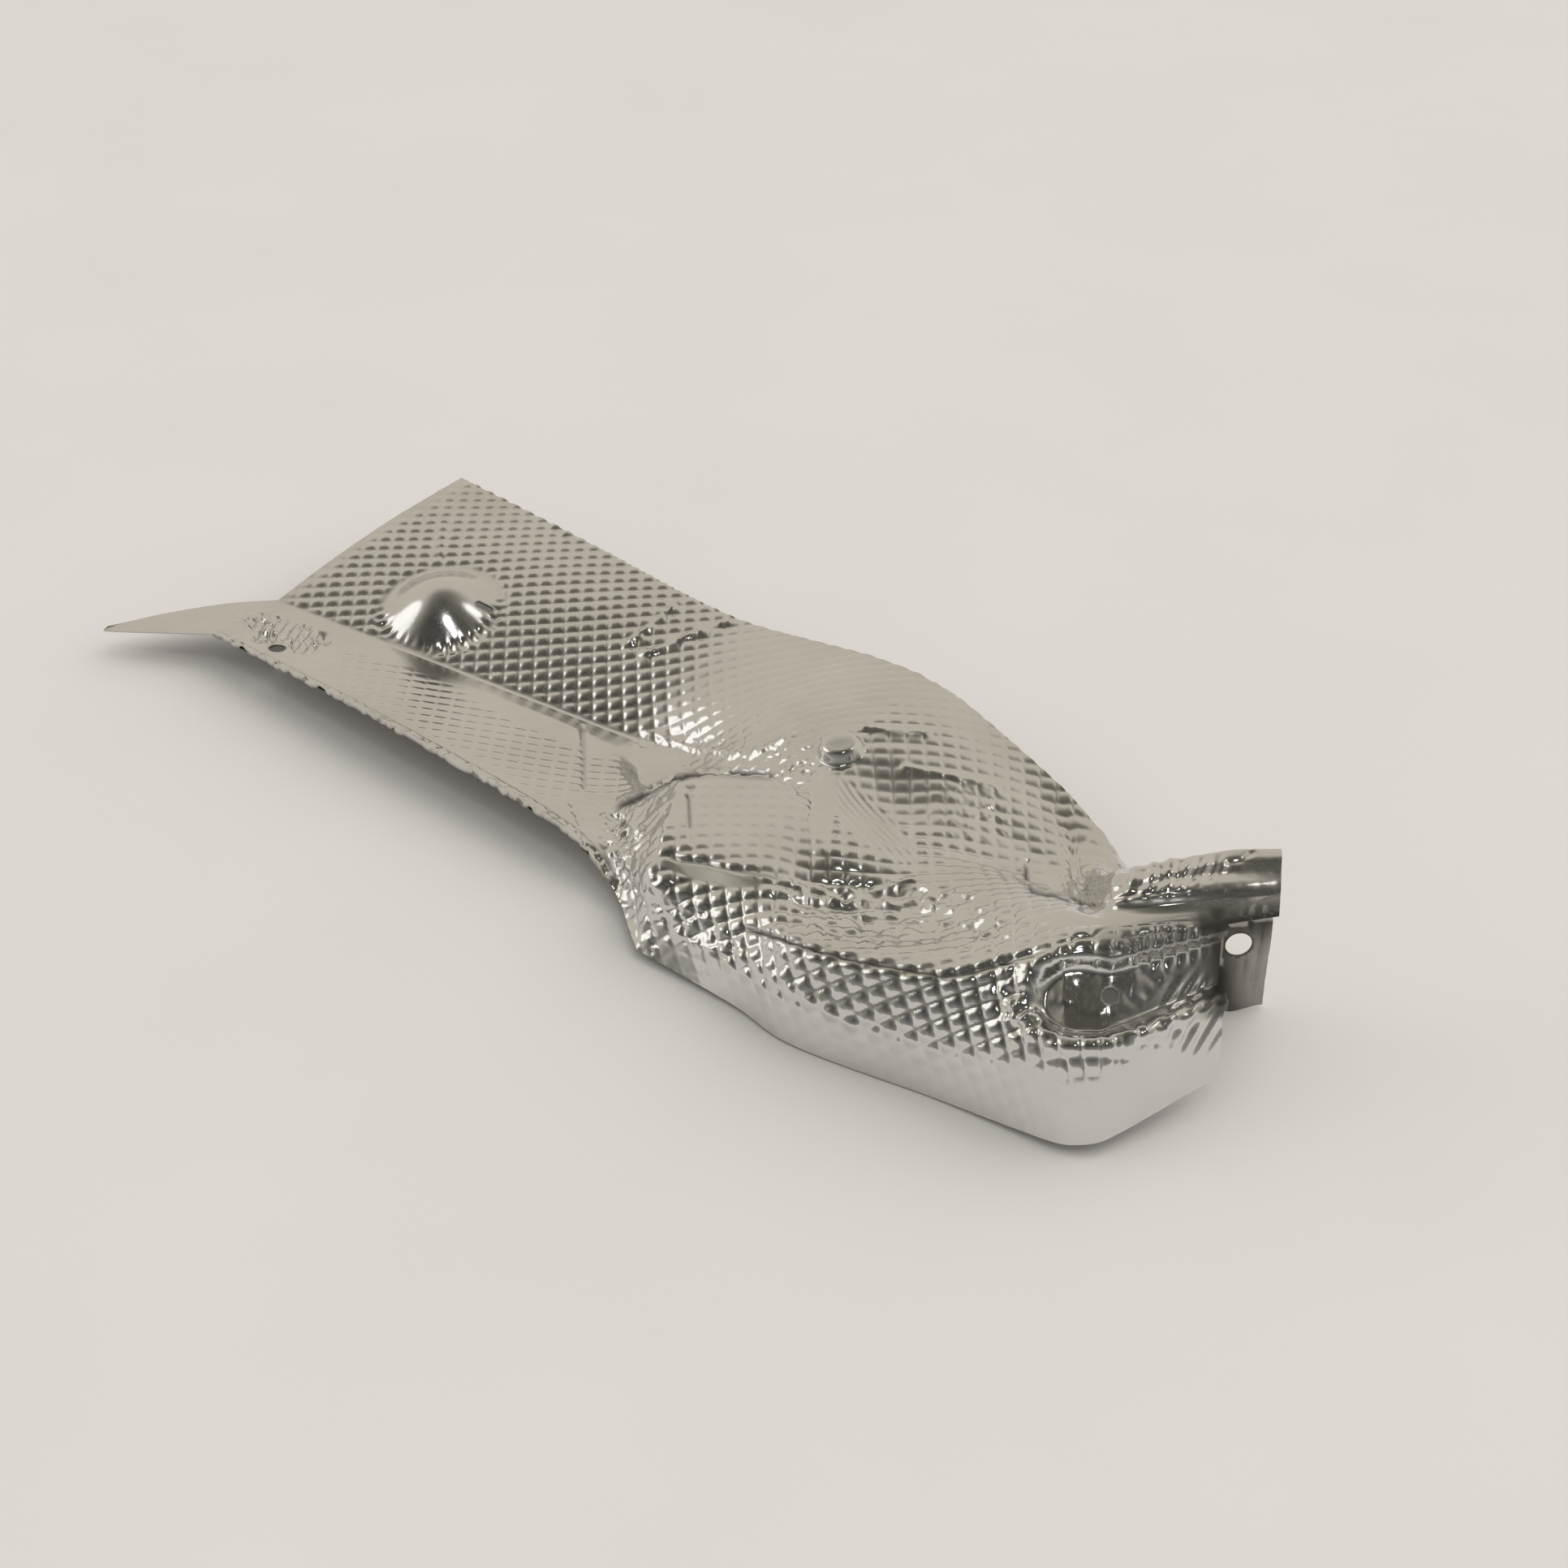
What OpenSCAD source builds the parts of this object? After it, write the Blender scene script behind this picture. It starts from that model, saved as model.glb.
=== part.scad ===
// Heat shield for a car's engine bay, pressed from one sheet of embossed aluminium.
// Millimetres. X runs along the shield, Y towards its far rim, Z up, resting on its lowest points.
// Cross sections stand along the far rim, and the skin is swept through them.

/* [Sheet] */
// Thickness of the sheet, two foils with an insulating paper between
sheet_t = 0.8; // [0.6:0.1:1.4]
// Thickness of the crimped hem along the flange
hem_t = 1.8; // [1.0:0.1:2.4]

/* [Panel] */
// Length of the fold between the panel and the flange
panel_len = 204; // [190:2:220]
// Width of the panel at its left end
panel_w = 135; // [120:1:145]
// Width of the panel at the gutter
gutter_w = 81; // [74:1:90]
// How far the far rim stands above the fold at the left end
panel_rise = 14; // [8:1:20]
// Width of the flange at its left end
flange_w = 42; // [32:1:50]
// Length of the pointed tongue at the left end
tongue_len = 52; // [36:2:60]

/* [Hump] */
// Length of the far rim from the gutter to the channel's open end, along X
hump_len = 320; // [308:2:332]
// Height of the hump's flat top above the table
shelf_z = 40; // [34:1:44]
// Height of the far rim at the head of the hump
head_z = 43; // [38:1:48]

/* [Channel] */
// Height of the channel's far crest at its open end
channel_z = 80; // [72:1:86]
// Height of the crest over the near wall
crest_z = 67; // [60:1:70]
// Length of the plain collar beyond the near wall
collar_len = 21; // [12:1:28]

/* [Dome] */
// Radius of the round dome on the panel
dome_r = 29; // [24:1:32]
// Height of the dome
dome_h = 12; // [6:1:16]
// Length of the slot in the dome
slot_len = 9; // [7:0.5:12]
// Width of the slot in the dome
slot_w = 3.6; // [3:0.1:5]

/* [Cap] */
// Radius of the small raised cap at the hump's head
cap_r = 11; // [8:0.5:13]
// Height of the cap
cap_h = 5; // [2:0.5:7]

/* [Recess] */
// Depth of the recess
recess_d = 6; // [3:0.5:8]
// Height of the bead round the recess
bead_h = 1.6; // [0.5:0.1:2.5]

/* [Fixing holes] */
// Diameter of the hole in the flange's left pad
pad_hole_d = 8; // [6:0.5:9]
// Diameter of the hole in the recess
near_hole_d = 6.6; // [5:0.1:8]
// Diameter of the hole in the channel's far wall
far_hole_d = 11; // [8:0.5:13]
// Width of the flat seat round each hole
seat_w = 5; // [3:0.5:7]

/* [Hidden] */

// The lines that run along the sheet, counted from the far rim to the near edge.
// On the panel: rim, two lines across it, and the fold. Then six lines on the flange.
// On the hump: rim, shoulder, ridge, crumpled fold, gutter, lip, hollow, crest, knee, foot.
// On the channel: far foot, far wall, far crest, four lines over the top, near crest, knee, foot.
LINES = 10;
FOLD = 3;
CREST = 7;

// How far each line's fold is rounded, as a part of the strip on either side of it
softness = [0, 0.5, 0.5, 0.16, 0.25, 0.14, 0.3, 0.2, 0.3, 0];

function lerp(a, b, f) = a * (1 - f) + b * f;
function smooth(f) = let (g = min(1, max(0, f))) g * g * (3 - 2 * g);

// Corners of the panel and of the flange, at the left end and at the gutter
FOLD_Z = 16;
FOLD_SHIFT = 32;
FOLD_DROP = 15;
GUTTER_RISE = 27;
EDGE_REACH = 45;
GUTTER_FLANGE_W = 95;
GUTTER_FLANGE_RISE = 17;
fold_left = [-305, -23, FOLD_Z];
fold_right = fold_left + [panel_len, FOLD_SHIFT, -FOLD_DROP];
rim_left = fold_left + [0, panel_w, panel_rise];
rim_right = fold_right + [0, gutter_w, GUTTER_RISE];
edge_left = fold_left + [0, -flange_w, 1];
edge_right = fold_right + [EDGE_REACH, -GUTTER_FLANGE_W, GUTTER_FLANGE_RISE];

// The panel rises steeply from its fold and levels out to its rim; the flange's edge bows upward
FLANGE_BOW = 4;
panel_share = [1, 0.65, 0.3, 0];
function panel_section(f) = let (
        rim = lerp(rim_left, rim_right, f),
        fold = lerp(fold_left, fold_right, f),
        edge = lerp(edge_left, edge_right, f) + [0, 0, 4 * FLANGE_BOW * f * (1 - f)])
    concat([for (s = panel_share)
            [lerp(fold[0], rim[0], s), lerp(fold[1], rim[1], s),
             lerp(fold[2], rim[2], 1 - (1 - s) * (1 - s))]],
        [for (k = [1:LINES - 1 - FOLD]) lerp(fold, edge, k / (LINES - 1 - FOLD))]);

// The far rim at a distance x beyond the gutter: it climbs to the head of the hump, falls to the
// table at the channel's end, and bends ever more towards the near side on its way
HEAD_AT = 120;
RIM_BEND = 85;
RIM_CURVE = 2.4;
RIM_DROP = 1.7;
function rim_at(x) = let (fall = max(0, (x - HEAD_AT) / (hump_len - HEAD_AT)))
    [rim_right[0] + x, rim_right[1] - RIM_BEND * pow(x / hump_len, RIM_CURVE),
     x < HEAD_AT ? lerp(rim_right[2], head_z, smooth(x / HEAD_AT)) : head_z * (1 - pow(fall, RIM_DROP))];

// How far the sections are turned from straight across: little at the gutter, more along the hump
GUTTER_TURN = 8;
HUMP_TURN = 32;
TURN_FROM = 85;
TURN_OVER = 65;
function turn_at(x) = lerp(GUTTER_TURN, HUMP_TURN, smooth((x - TURN_FROM) / TURN_OVER));

// A section beyond the panel: it starts on the far rim, and each pair is a distance across the
// sheet and a height. It bows to the left by the given amount in the middle of its width.
function section_at_rim(x, bow, profile) = let (
        rim = rim_at(x), turn = turn_at(x), width = profile[LINES - 2][0])
    concat([rim], [for (p = profile) let (
            side = bow * pow(sin(180 * p[0] / width), 2))
        [rim[0] + p[0] * sin(turn) - side * cos(turn), rim[1] - p[0] * cos(turn) - side * sin(turn), p[1]]]);

gutter_side = [[35, 31], [60, 20], [75, 6], [110, 1], [130, 19], [150, 22], [165, 18], [175, 13], [185, 8]];
flat_top_left = [[35, 39], [60, 33], [85, 20], [105, 9], [120, shelf_z - 3], [170, shelf_z - 2],
                 [190, 28], [195, 14], [205, 3]];
hump_head = [[30, 45], [70, 44], [85, 38], [100, 33], [105, shelf_z], [170, shelf_z],
             [190, 30], [205, 18], [210, 1]];
flat_top_right = [[30, 46], [50, 46], [80, 42], [110, shelf_z], [140, shelf_z], [160, 32],
                  [205, 38], [215, 20], [220, 0]];
hump_middle = [[25, 43], [45, 42], [75, 38], [100, 34], [120, 35], [140, 37], [205, 47], [220, 24], [225, 0]];
hump_mouth = [[20, 27], [40, 26], [55, 26], [75, 28], [100, crest_z - 20], [125, crest_z - 8],
              [155, crest_z - 3], [190, 40], [200, 3]];
channel_root = [[30, 25], [55, 26], [85, 44], [100, 50], [110, 56], [120, 62], [140, crest_z - 2],
                [180, 41], [190, 4]];
channel_start = [[35, 28], [80, channel_z - 10], [95, channel_z - 8], [100, channel_z - 10],
                 [105, crest_z], [115, crest_z], [125, crest_z - 1], [160, 42], [170, 6]];
channel_end = [[0, 40], [0, channel_z], [10, channel_z - 1], [15, channel_z - 4], [25, crest_z + 4],
               [30, crest_z + 3], [35, crest_z + 1], [55, 42], [65, 14]];

// The collar carries the channel's end on, and its top leans further from the shield's length than
// its wall does: both ways are in degrees from X
COLLAR_WALL_WAY = 35;
COLLAR_TOP_WAY = 57;
near_end = section_at_rim(hump_len, 0, channel_end);
collar = [for (k = [0:LINES - 1])
    let (way = lerp(COLLAR_WALL_WAY, COLLAR_TOP_WAY, k / (LINES - 1)))
    near_end[k] + collar_len * [cos(way), sin(way), 0]];

sections = [panel_section(0), panel_section(0.5), panel_section(1),
    section_at_rim(55, 30, gutter_side), section_at_rim(85, 30, flat_top_left),
    section_at_rim(110, 20, hump_head), section_at_rim(HEAD_AT, 10, flat_top_right),
    section_at_rim(145, 10, hump_middle), section_at_rim(210, 0, hump_mouth),
    section_at_rim(225, 0, channel_root), section_at_rim(245, 0, channel_start),
    near_end, collar];

// Where each section stands along the sheet, measured along its middle
beyond_gutter = [45, 80, 110, 140, 180, 245, 260, 275, hump_len, hump_len + collar_len];
section_at = concat([0, panel_len / 2, panel_len], [for (d = beyond_gutter) panel_len + d]);

// The tongue narrows from the flange's left end to its tip, and its outer side bulges
TIP_SHIFT = 26;
TIP_DROP = 5;
tongue_tip = edge_left + [-tongue_len, -TIP_SHIFT, -TIP_DROP];
TONGUE_BULGE = 10;
TIP_W = 3;
tongue_share = [0, 0.25, 0.6];
TONGUE_SLANT = 1.2;
tongue_at = [for (f = tongue_share) -tongue_len * TONGUE_SLANT * (1 - f)];
tongue = [for (f = tongue_share)
    [lerp(tongue_tip + [0, TIP_W, 1], fold_left, f) + [0, 4 * TONGUE_BULGE * f * (1 - f), 0],
     lerp(tongue_tip, edge_left, f)]];

// How many steps the mesh takes from line to line as far as the crest, its places on the wall,
// and how many steps it takes from section to section
line_steps = [4, 5, 4, 2, 2, 3, 3];
wall_at = [7, 7.12, 7.24, 7.5, 7.76, 7.88, 8, 8.14, 8.3, 9];
section_steps = [11, 6, 5, 5, 5, 5, 6, 12, 5, 3, 7, 2];
tongue_steps = [2, 3, 2];

// Every section, with the tongue's in front, its outer lines unused
function tongue_section(ends) = [for (k = [0:LINES - 1])
    let (f = max(0, (k - FOLD) / (LINES - 1 - FOLD))) ends[0] * (1 - f) + ends[1] * f];
all_sections = concat([for (ends = tongue) tongue_section(ends)], sections);
all_at = concat(tongue_at, section_at);
all_steps = concat(tongue_steps, section_steps);
TONGUE = len(tongue);
LAST = len(all_sections) - 1;

// Sections at which every line turns sharply: the flange's left end and the flat top's left crease
FLAT_TOP = 4;
kinks = [TONGUE, TONGUE + FLAT_TOP];

// Slope of line j at section i, from its neighbours, or from one side of it at a kink
function line_slope(i, j, side) = let (
        kink = len(search(i, kinks)) > 0,
        a = kink && side > 0 ? i : max(0, i - 1),
        b = kink && side < 0 ? i : min(LAST, i + 1))
    (all_sections[b][j] - all_sections[a][j]) / (all_at[b] - all_at[a]);

// The point on line j a part f of the way from section i to the next: a cubic curve
function line_point(i, j, f) = let (
        span = all_at[i + 1] - all_at[i],
        p = all_sections[i][j], q = all_sections[i + 1][j],
        a = line_slope(i, j, 1) * span, b = line_slope(i + 1, j, -1) * span)
    p + a * f + (3 * (q - p) - 2 * a - b) * f * f + (2 * (p - q) + a + b) * f * f * f;

// The point across a section at line number v, with a rounded fold at each line
function across(row, v) = let (j = round(v), f = v - j, w = softness[j])
    (j == 0 || j == LINES - 1 || abs(f) >= w)
        ? let (k = min(LINES - 2, floor(v))) lerp(row[k], row[k + 1], v - k)
        : let (g = (f + w) / (2 * w),
               before = lerp(row[j], row[j - 1], w), after = lerp(row[j], row[j + 1], w))
          before * (1 - g) * (1 - g) + row[j] * 2 * g * (1 - g) + after * g * g;

// Mesh positions across the sheet and along it
v_at = concat([for (k = [0:CREST - 1]) for (s = [0:line_steps[k] - 1]) k + s / line_steps[k]],
              wall_at);
u_at = concat([for (i = [0:LAST - 1]) for (s = [0:all_steps[i] - 1]) [i, s / all_steps[i]]],
              [[LAST - 1, 1]]);
NV = len(v_at);
NU = len(u_at);

plain_skin = [for (u = u_at)
    let (row = [for (j = [0:LINES - 1]) line_point(u[0], j, u[1])])
    [for (v = v_at) across(row, v)]];

// Normal of a skin at a mesh point, from its neighbours
function normal_at(skin, i, j) = let (
        a = skin[max(0, i - 1)][j], b = skin[min(NU - 1, i + 1)][j],
        c = skin[i][max(0, j - 1)], d = skin[i][min(NV - 1, j + 1)],
        n = cross(d - c, b - a))
    n / max(norm(n), 0.000001);

// Features pressed into the sheet, each a height along its normal
dome_c = [fold_left[0] + 73, fold_left[1] + 43];
cap_c = plain_at(TONGUE + 5.4, 2.5);

function dome_push(p) = let (r = norm([p[0] - dome_c[0], p[1] - dome_c[1]]) / dome_r)
    r >= 1 ? 0 : dome_h * (1 - r * r) * sqrt(1 - r * r);
function cap_push(p) = let (r = norm(p - cap_c) / cap_r) r >= 1 ? 0 : cap_h * (1 - smooth(r));

// The recess lies between the crest and the knee, rounded at its left end and open at the other.
// Its place is counted in sections along the sheet and in lines across it.
RECESS_FROM = TONGUE + 8.1;
RECESS_ROUND = 0.35;
RECESS_LINE = CREST + 0.5;
RECESS_HALF = 0.38;
RECESS_WALL = 0.32;
BEAD_SPREAD = 0.22;
function recess_push(u, v) = let (
        end = max(0, RECESS_FROM - u) / RECESS_ROUND,
        side = (v - RECESS_LINE) / RECESS_HALF,
        r = sqrt(end * end + side * side),
        outer = smooth(2 * end) + smooth(side))
    bead_h * min(1, outer) * exp(-pow((r - 1 - BEAD_SPREAD) / BEAD_SPREAD, 2))
    - recess_d * smooth((1 - r) / RECESS_WALL);

function push_at(p, u, v) =
    dome_push(p) + cap_push(p) + (v > CREST - 1 ? recess_push(u, v) : 0);
pressed_skin = [for (i = [0:NU - 1]) [for (j = [0:NV - 1])
    let (p = plain_skin[i][j], u = u_at[i][0] + u_at[i][1])
    p + normal_at(plain_skin, i, j) * push_at(p, u, v_at[j])]];

// The pressed sheet at any place on it, and the way out there
PROBE = 0.05;
function plain_at(u, v) = let (i = min(LAST - 1, floor(u)))
    across([for (j = [0:LINES - 1]) line_point(i, j, u - i)], v);
function pressed_at(u, v) = let (
        p = plain_at(u, v),
        n = cross(plain_at(u, v + PROBE) - plain_at(u, v - PROBE),
                  plain_at(u + PROBE, v) - plain_at(u - PROBE, v)))
    p + n / norm(n) * push_at(p, u, v);
function way_out(u, v) = let (
        n = cross(pressed_at(u, v + PROBE) - pressed_at(u, v - PROBE),
                  pressed_at(u + PROBE, v) - pressed_at(u - PROBE, v)))
    n / norm(n);

// Fixing holes, placed in sections along the sheet and lines across it: centre, way out, diameter.
// The sheet is flat round each one.
function hole_at(u, v, d) = [pressed_at(u, v), way_out(u, v), d];
pad_hole = hole_at(TONGUE + 0.3, 7.5, pad_hole_d);
near_hole = hole_at(TONGUE + 9.9, 7.45, near_hole_d);
far_hole = hole_at(TONGUE + 11.4, 0.8, far_hole_d);
holes = [pad_hole, near_hole, far_hole];

// A seat pulls the skin near by into the hole's plane, fully round the hole and fading outside it
SEAT_FADE = 6;
function seat_pull(p, hole) = let (
        gap = (p - hole[0]) * hole[1],
        r = norm(p - hole[0] - hole[1] * gap),
        hold = (1 - smooth((r - hole[2] / 2 - seat_w) / SEAT_FADE)) * (1 - smooth(abs(gap) / SEAT_FADE - 1)))
    -hole[1] * gap * hold;
skin = [for (row = pressed_skin) [for (p = row)
    p + seat_pull(p, pad_hole) + seat_pull(p, near_hole) + seat_pull(p, far_hole)]];

// The slot lies on the dome's right side and runs down it
slot_u = TONGUE + 0.92;
slot_v = 1.88;
slot_c = pressed_at(slot_u, slot_v);
slot_out = way_out(slot_u, slot_v);
down_dome = [slot_c[0] - dome_c[0], slot_c[1] - dome_c[1], 0];
slot_side = cross(slot_out, down_dome) / norm(cross(slot_out, down_dome));
slot_along = cross(slot_side, slot_out);

// The hem thickens the flange's edge between the tongue and the hump
HEM_FROM = 0;
HEM_TO = 3;
function thickness_at(i, j) = let (u = u_at[i][0] - TONGUE)
    (j >= NV - 2 && u >= HEM_FROM && u < HEM_TO) ? hem_t : sheet_t;
underside = [for (i = [0:NU - 1]) [for (j = [0:NV - 1])
    skin[i][j] - normal_at(skin, i, j) * thickness_at(i, j)]];

// Which mesh cells are sheet: the tongue has no panel, and the near wall stops short at the end
function cell_there(i, j) =
    i >= 0 && j >= 0 && i < NU - 1 && j < NV - 1
    && (u_at[i][0] >= TONGUE || v_at[j] >= FOLD)
    && (u_at[i][0] < LAST - 1 || v_at[j] < CREST);

function top_at(i, j) = i * NV + j;
function low_at(i, j) = NU * NV + i * NV + j;

faces = [for (i = [0:NU - 2]) for (j = [0:NV - 2]) if (cell_there(i, j)) each concat(
    [[top_at(i, j), top_at(i, j + 1), top_at(i + 1, j + 1)],
     [top_at(i, j), top_at(i + 1, j + 1), top_at(i + 1, j)],
     [low_at(i, j), low_at(i + 1, j + 1), low_at(i, j + 1)],
     [low_at(i, j), low_at(i + 1, j), low_at(i + 1, j + 1)]],
    cell_there(i, j - 1) ? [] :
        [[top_at(i, j), top_at(i + 1, j), low_at(i + 1, j)],
         [top_at(i, j), low_at(i + 1, j), low_at(i, j)]],
    cell_there(i, j + 1) ? [] :
        [[top_at(i, j + 1), low_at(i + 1, j + 1), top_at(i + 1, j + 1)],
         [top_at(i, j + 1), low_at(i, j + 1), low_at(i + 1, j + 1)]],
    cell_there(i - 1, j) ? [] :
        [[top_at(i, j), low_at(i, j + 1), top_at(i, j + 1)],
         [top_at(i, j), low_at(i, j), low_at(i, j + 1)]],
    cell_there(i + 1, j) ? [] :
        [[top_at(i + 1, j), top_at(i + 1, j + 1), low_at(i + 1, j + 1)],
         [top_at(i + 1, j), low_at(i + 1, j + 1), low_at(i + 1, j)]])];

points = concat([for (row = skin) each row], [for (row = underside) each row]);

// The box round the sheet, from which the origin is moved to the middle of its bottom
used = [for (f = faces) each f];
box_low = [for (k = [0:2]) min([for (i = used) points[i][k]])];
box_high = [for (k = [0:2]) max([for (i = used) points[i][k]])];
origin = [(box_low[0] + box_high[0]) / 2, (box_low[1] + box_high[1]) / 2, box_low[2]];

// A drill along a hole's way out, long enough to pass the sheet
DRILL = 8;
module drill(at, way, d) {
    translate(at) rotate(a = acos(way[2]), v = cross([0, 0, 1], way))
        cylinder(h = DRILL, d = d, center = true, $fn = 48);
}

// The slot in the dome: a round drill at either end and a block between them
module slot() {
    side = cross(slot_out, slot_along);
    turn = [for (k = [0:2]) [slot_along[k], side[k], slot_out[k], slot_c[k]]];
    multmatrix(turn) {
        for (end = [-1, 1]) translate([end * (slot_len - slot_w) / 2, 0, 0])
            cylinder(h = DRILL, d = slot_w, center = true, $fn = 32);
        cube([slot_len - slot_w, slot_w, DRILL], center = true);
    }
}

// The whole shield, one pressed sheet with three fixing holes
module heat_shield() {
    color("silver") translate(-origin) difference() {
        polyhedron(points = points, faces = faces, convexity = 10);
        for (hole = holes) drill(hole[0], hole[1], hole[2]);
        slot();
    }
}

heat_shield();
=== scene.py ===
# A heat shield pressed from bright embossed aluminium sheet, lying on a pale table.
# The sheet's form repeats the solid model's; this script adds the waffle, creases and crumples to it.
# Lengths are in millimetres until a mesh is made, and then in metres. A place on the sheet is a pair:
# u counts the sections along it from the tongue's tip, and v the lines across it from the far rim.
import math

import bpy
import numpy as np
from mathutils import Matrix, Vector


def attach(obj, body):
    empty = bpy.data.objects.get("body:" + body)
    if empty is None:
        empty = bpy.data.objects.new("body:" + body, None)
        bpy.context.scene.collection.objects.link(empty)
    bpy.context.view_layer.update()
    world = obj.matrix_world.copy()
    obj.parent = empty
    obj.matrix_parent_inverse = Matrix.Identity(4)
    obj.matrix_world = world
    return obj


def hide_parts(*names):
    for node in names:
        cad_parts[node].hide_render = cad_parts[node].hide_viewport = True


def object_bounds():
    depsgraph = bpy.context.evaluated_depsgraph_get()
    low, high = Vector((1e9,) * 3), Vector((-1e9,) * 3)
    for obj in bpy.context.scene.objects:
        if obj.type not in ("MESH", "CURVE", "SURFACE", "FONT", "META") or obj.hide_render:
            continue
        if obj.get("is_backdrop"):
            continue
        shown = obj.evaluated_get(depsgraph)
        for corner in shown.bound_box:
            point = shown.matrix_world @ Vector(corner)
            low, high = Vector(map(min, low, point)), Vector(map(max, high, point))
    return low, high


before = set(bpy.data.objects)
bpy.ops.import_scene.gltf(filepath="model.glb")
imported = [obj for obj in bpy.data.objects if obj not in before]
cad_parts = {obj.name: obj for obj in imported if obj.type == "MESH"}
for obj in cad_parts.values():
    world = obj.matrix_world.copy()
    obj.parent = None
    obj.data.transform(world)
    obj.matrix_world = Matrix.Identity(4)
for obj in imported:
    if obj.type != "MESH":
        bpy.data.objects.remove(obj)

cad_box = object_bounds()

NODE = "heat_shield"
BODY = "root"
METRE = 0.001

# The sheet: its thickness and the hem's, the lines across it, which of them are the flange's fold and the
# crest, and how softly it bends at each, as a share of the strips beside the line
SHEET_T = 0.8
HEM_T = 1.8
LINES = 10
FOLD = 3
CREST = 7
SOFTNESS = np.array([0, 0.5, 0.5, 0.16, 0.25, 0.14, 0.3, 0.2, 0.3, 0])

# Driving sizes, as in the solid model
PANEL_LEN = 204
PANEL_W = 135
GUTTER_W = 81
PANEL_RISE = 14
FLANGE_W = 42
TONGUE_LEN = 52
HUMP_LEN = 320
SHELF_Z = 40
HEAD_Z = 43
CHANNEL_Z = 80
CREST_Z = 67
COLLAR_LEN = 21


def smooth(x):
    """Eased step from 0 to 1."""
    g = np.clip(x, 0, 1)
    return g * g * (3 - 2 * g)


def lerp(a, b, f):
    return a * (1 - f) + b * f


def unit(v):
    v = np.asarray(v, float)
    return v / np.maximum(np.linalg.norm(v, axis=-1, keepdims=True), 1e-9)


# Corners of the panel and of the flange, at the left end and at the gutter
FOLD_Z = 16
FOLD_SHIFT = 32
FOLD_DROP = 15
GUTTER_RISE = 27
EDGE_REACH = 45
GUTTER_FLANGE_W = 95
GUTTER_FLANGE_RISE = 17
FOLD_LEFT = np.array([-305.0, -23.0, FOLD_Z])
FOLD_RIGHT = FOLD_LEFT + [PANEL_LEN, FOLD_SHIFT, -FOLD_DROP]
RIM_LEFT = FOLD_LEFT + [0, PANEL_W, PANEL_RISE]
RIM_RIGHT = FOLD_RIGHT + [0, GUTTER_W, GUTTER_RISE]
EDGE_LEFT = FOLD_LEFT + [0, -FLANGE_W, 1]
EDGE_RIGHT = FOLD_RIGHT + [EDGE_REACH, -GUTTER_FLANGE_W, GUTTER_FLANGE_RISE]
FLANGE_BOW = 4
PANEL_SHARE = (1, 0.65, 0.3, 0)


def panel_section(f):
    """A section of the panel and flange: steep from the fold, level at the rim, the edge bowed up."""
    rim, fold = lerp(RIM_LEFT, RIM_RIGHT, f), lerp(FOLD_LEFT, FOLD_RIGHT, f)
    edge = lerp(EDGE_LEFT, EDGE_RIGHT, f) + [0, 0, 4 * FLANGE_BOW * f * (1 - f)]
    panel = [[*lerp(fold[:2], rim[:2], s), lerp(fold[2], rim[2], 1 - (1 - s) ** 2)] for s in PANEL_SHARE]
    steps = LINES - 1 - FOLD
    return np.array(panel + [lerp(fold, edge, k / steps) for k in range(1, steps + 1)])


# The far rim beyond the panel, and how far the sections are turned from straight across
HEAD_AT = 120
RIM_BEND = 85
RIM_CURVE = 2.4
RIM_DROP = 1.7
GUTTER_TURN = 8
HUMP_TURN = 32
TURN_FROM = 85
TURN_OVER = 65


def rim_at(x):
    """The far rim at a distance beyond the gutter."""
    fall = max(0, (x - HEAD_AT) / (HUMP_LEN - HEAD_AT))
    climb = lerp(RIM_RIGHT[2], HEAD_Z, smooth(x / HEAD_AT))
    height = climb if x < HEAD_AT else HEAD_Z * (1 - fall ** RIM_DROP)
    return RIM_RIGHT[0] + x, RIM_RIGHT[1] - RIM_BEND * (x / HUMP_LEN) ** RIM_CURVE, height


def section_at_rim(x, bow, profile):
    """A section beyond the panel: pairs of a distance across the sheet and a height, bowed to the left."""
    rim = rim_at(x)
    turn = math.radians(lerp(GUTTER_TURN, HUMP_TURN, smooth((x - TURN_FROM) / TURN_OVER)))
    points = [rim]
    for across, height in profile:
        side = bow * math.sin(math.pi * across / profile[-1][0]) ** 2
        points.append((rim[0] + across * math.sin(turn) - side * math.cos(turn),
                       rim[1] - across * math.cos(turn) - side * math.sin(turn), height))
    return np.array(points)


GUTTER_SIDE = ((35, 31), (60, 20), (75, 6), (110, 1), (130, 19), (150, 22), (165, 18), (175, 13), (185, 8))
FLAT_TOP_LEFT = ((35, 39), (60, 33), (85, 20), (105, 9), (120, SHELF_Z - 3), (170, SHELF_Z - 2),
                 (190, 28), (195, 14), (205, 3))
HUMP_HEAD = ((30, 45), (70, 44), (85, 38), (100, 33), (105, SHELF_Z), (170, SHELF_Z),
             (190, 30), (205, 18), (210, 1))
FLAT_TOP_RIGHT = ((30, 46), (50, 46), (80, 42), (110, SHELF_Z), (140, SHELF_Z), (160, 32),
                  (205, 38), (215, 20), (220, 0))
HUMP_MIDDLE = ((25, 43), (45, 42), (75, 38), (100, 34), (120, 35), (140, 37), (205, 47), (220, 24), (225, 0))
HUMP_MOUTH = ((20, 27), (40, 26), (55, 26), (75, 28), (100, CREST_Z - 20), (125, CREST_Z - 8),
              (155, CREST_Z - 3), (190, 40), (200, 3))
CHANNEL_ROOT = ((30, 25), (55, 26), (85, 44), (100, 50), (110, 56), (120, 62), (140, CREST_Z - 2),
                (180, 41), (190, 4))
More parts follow.
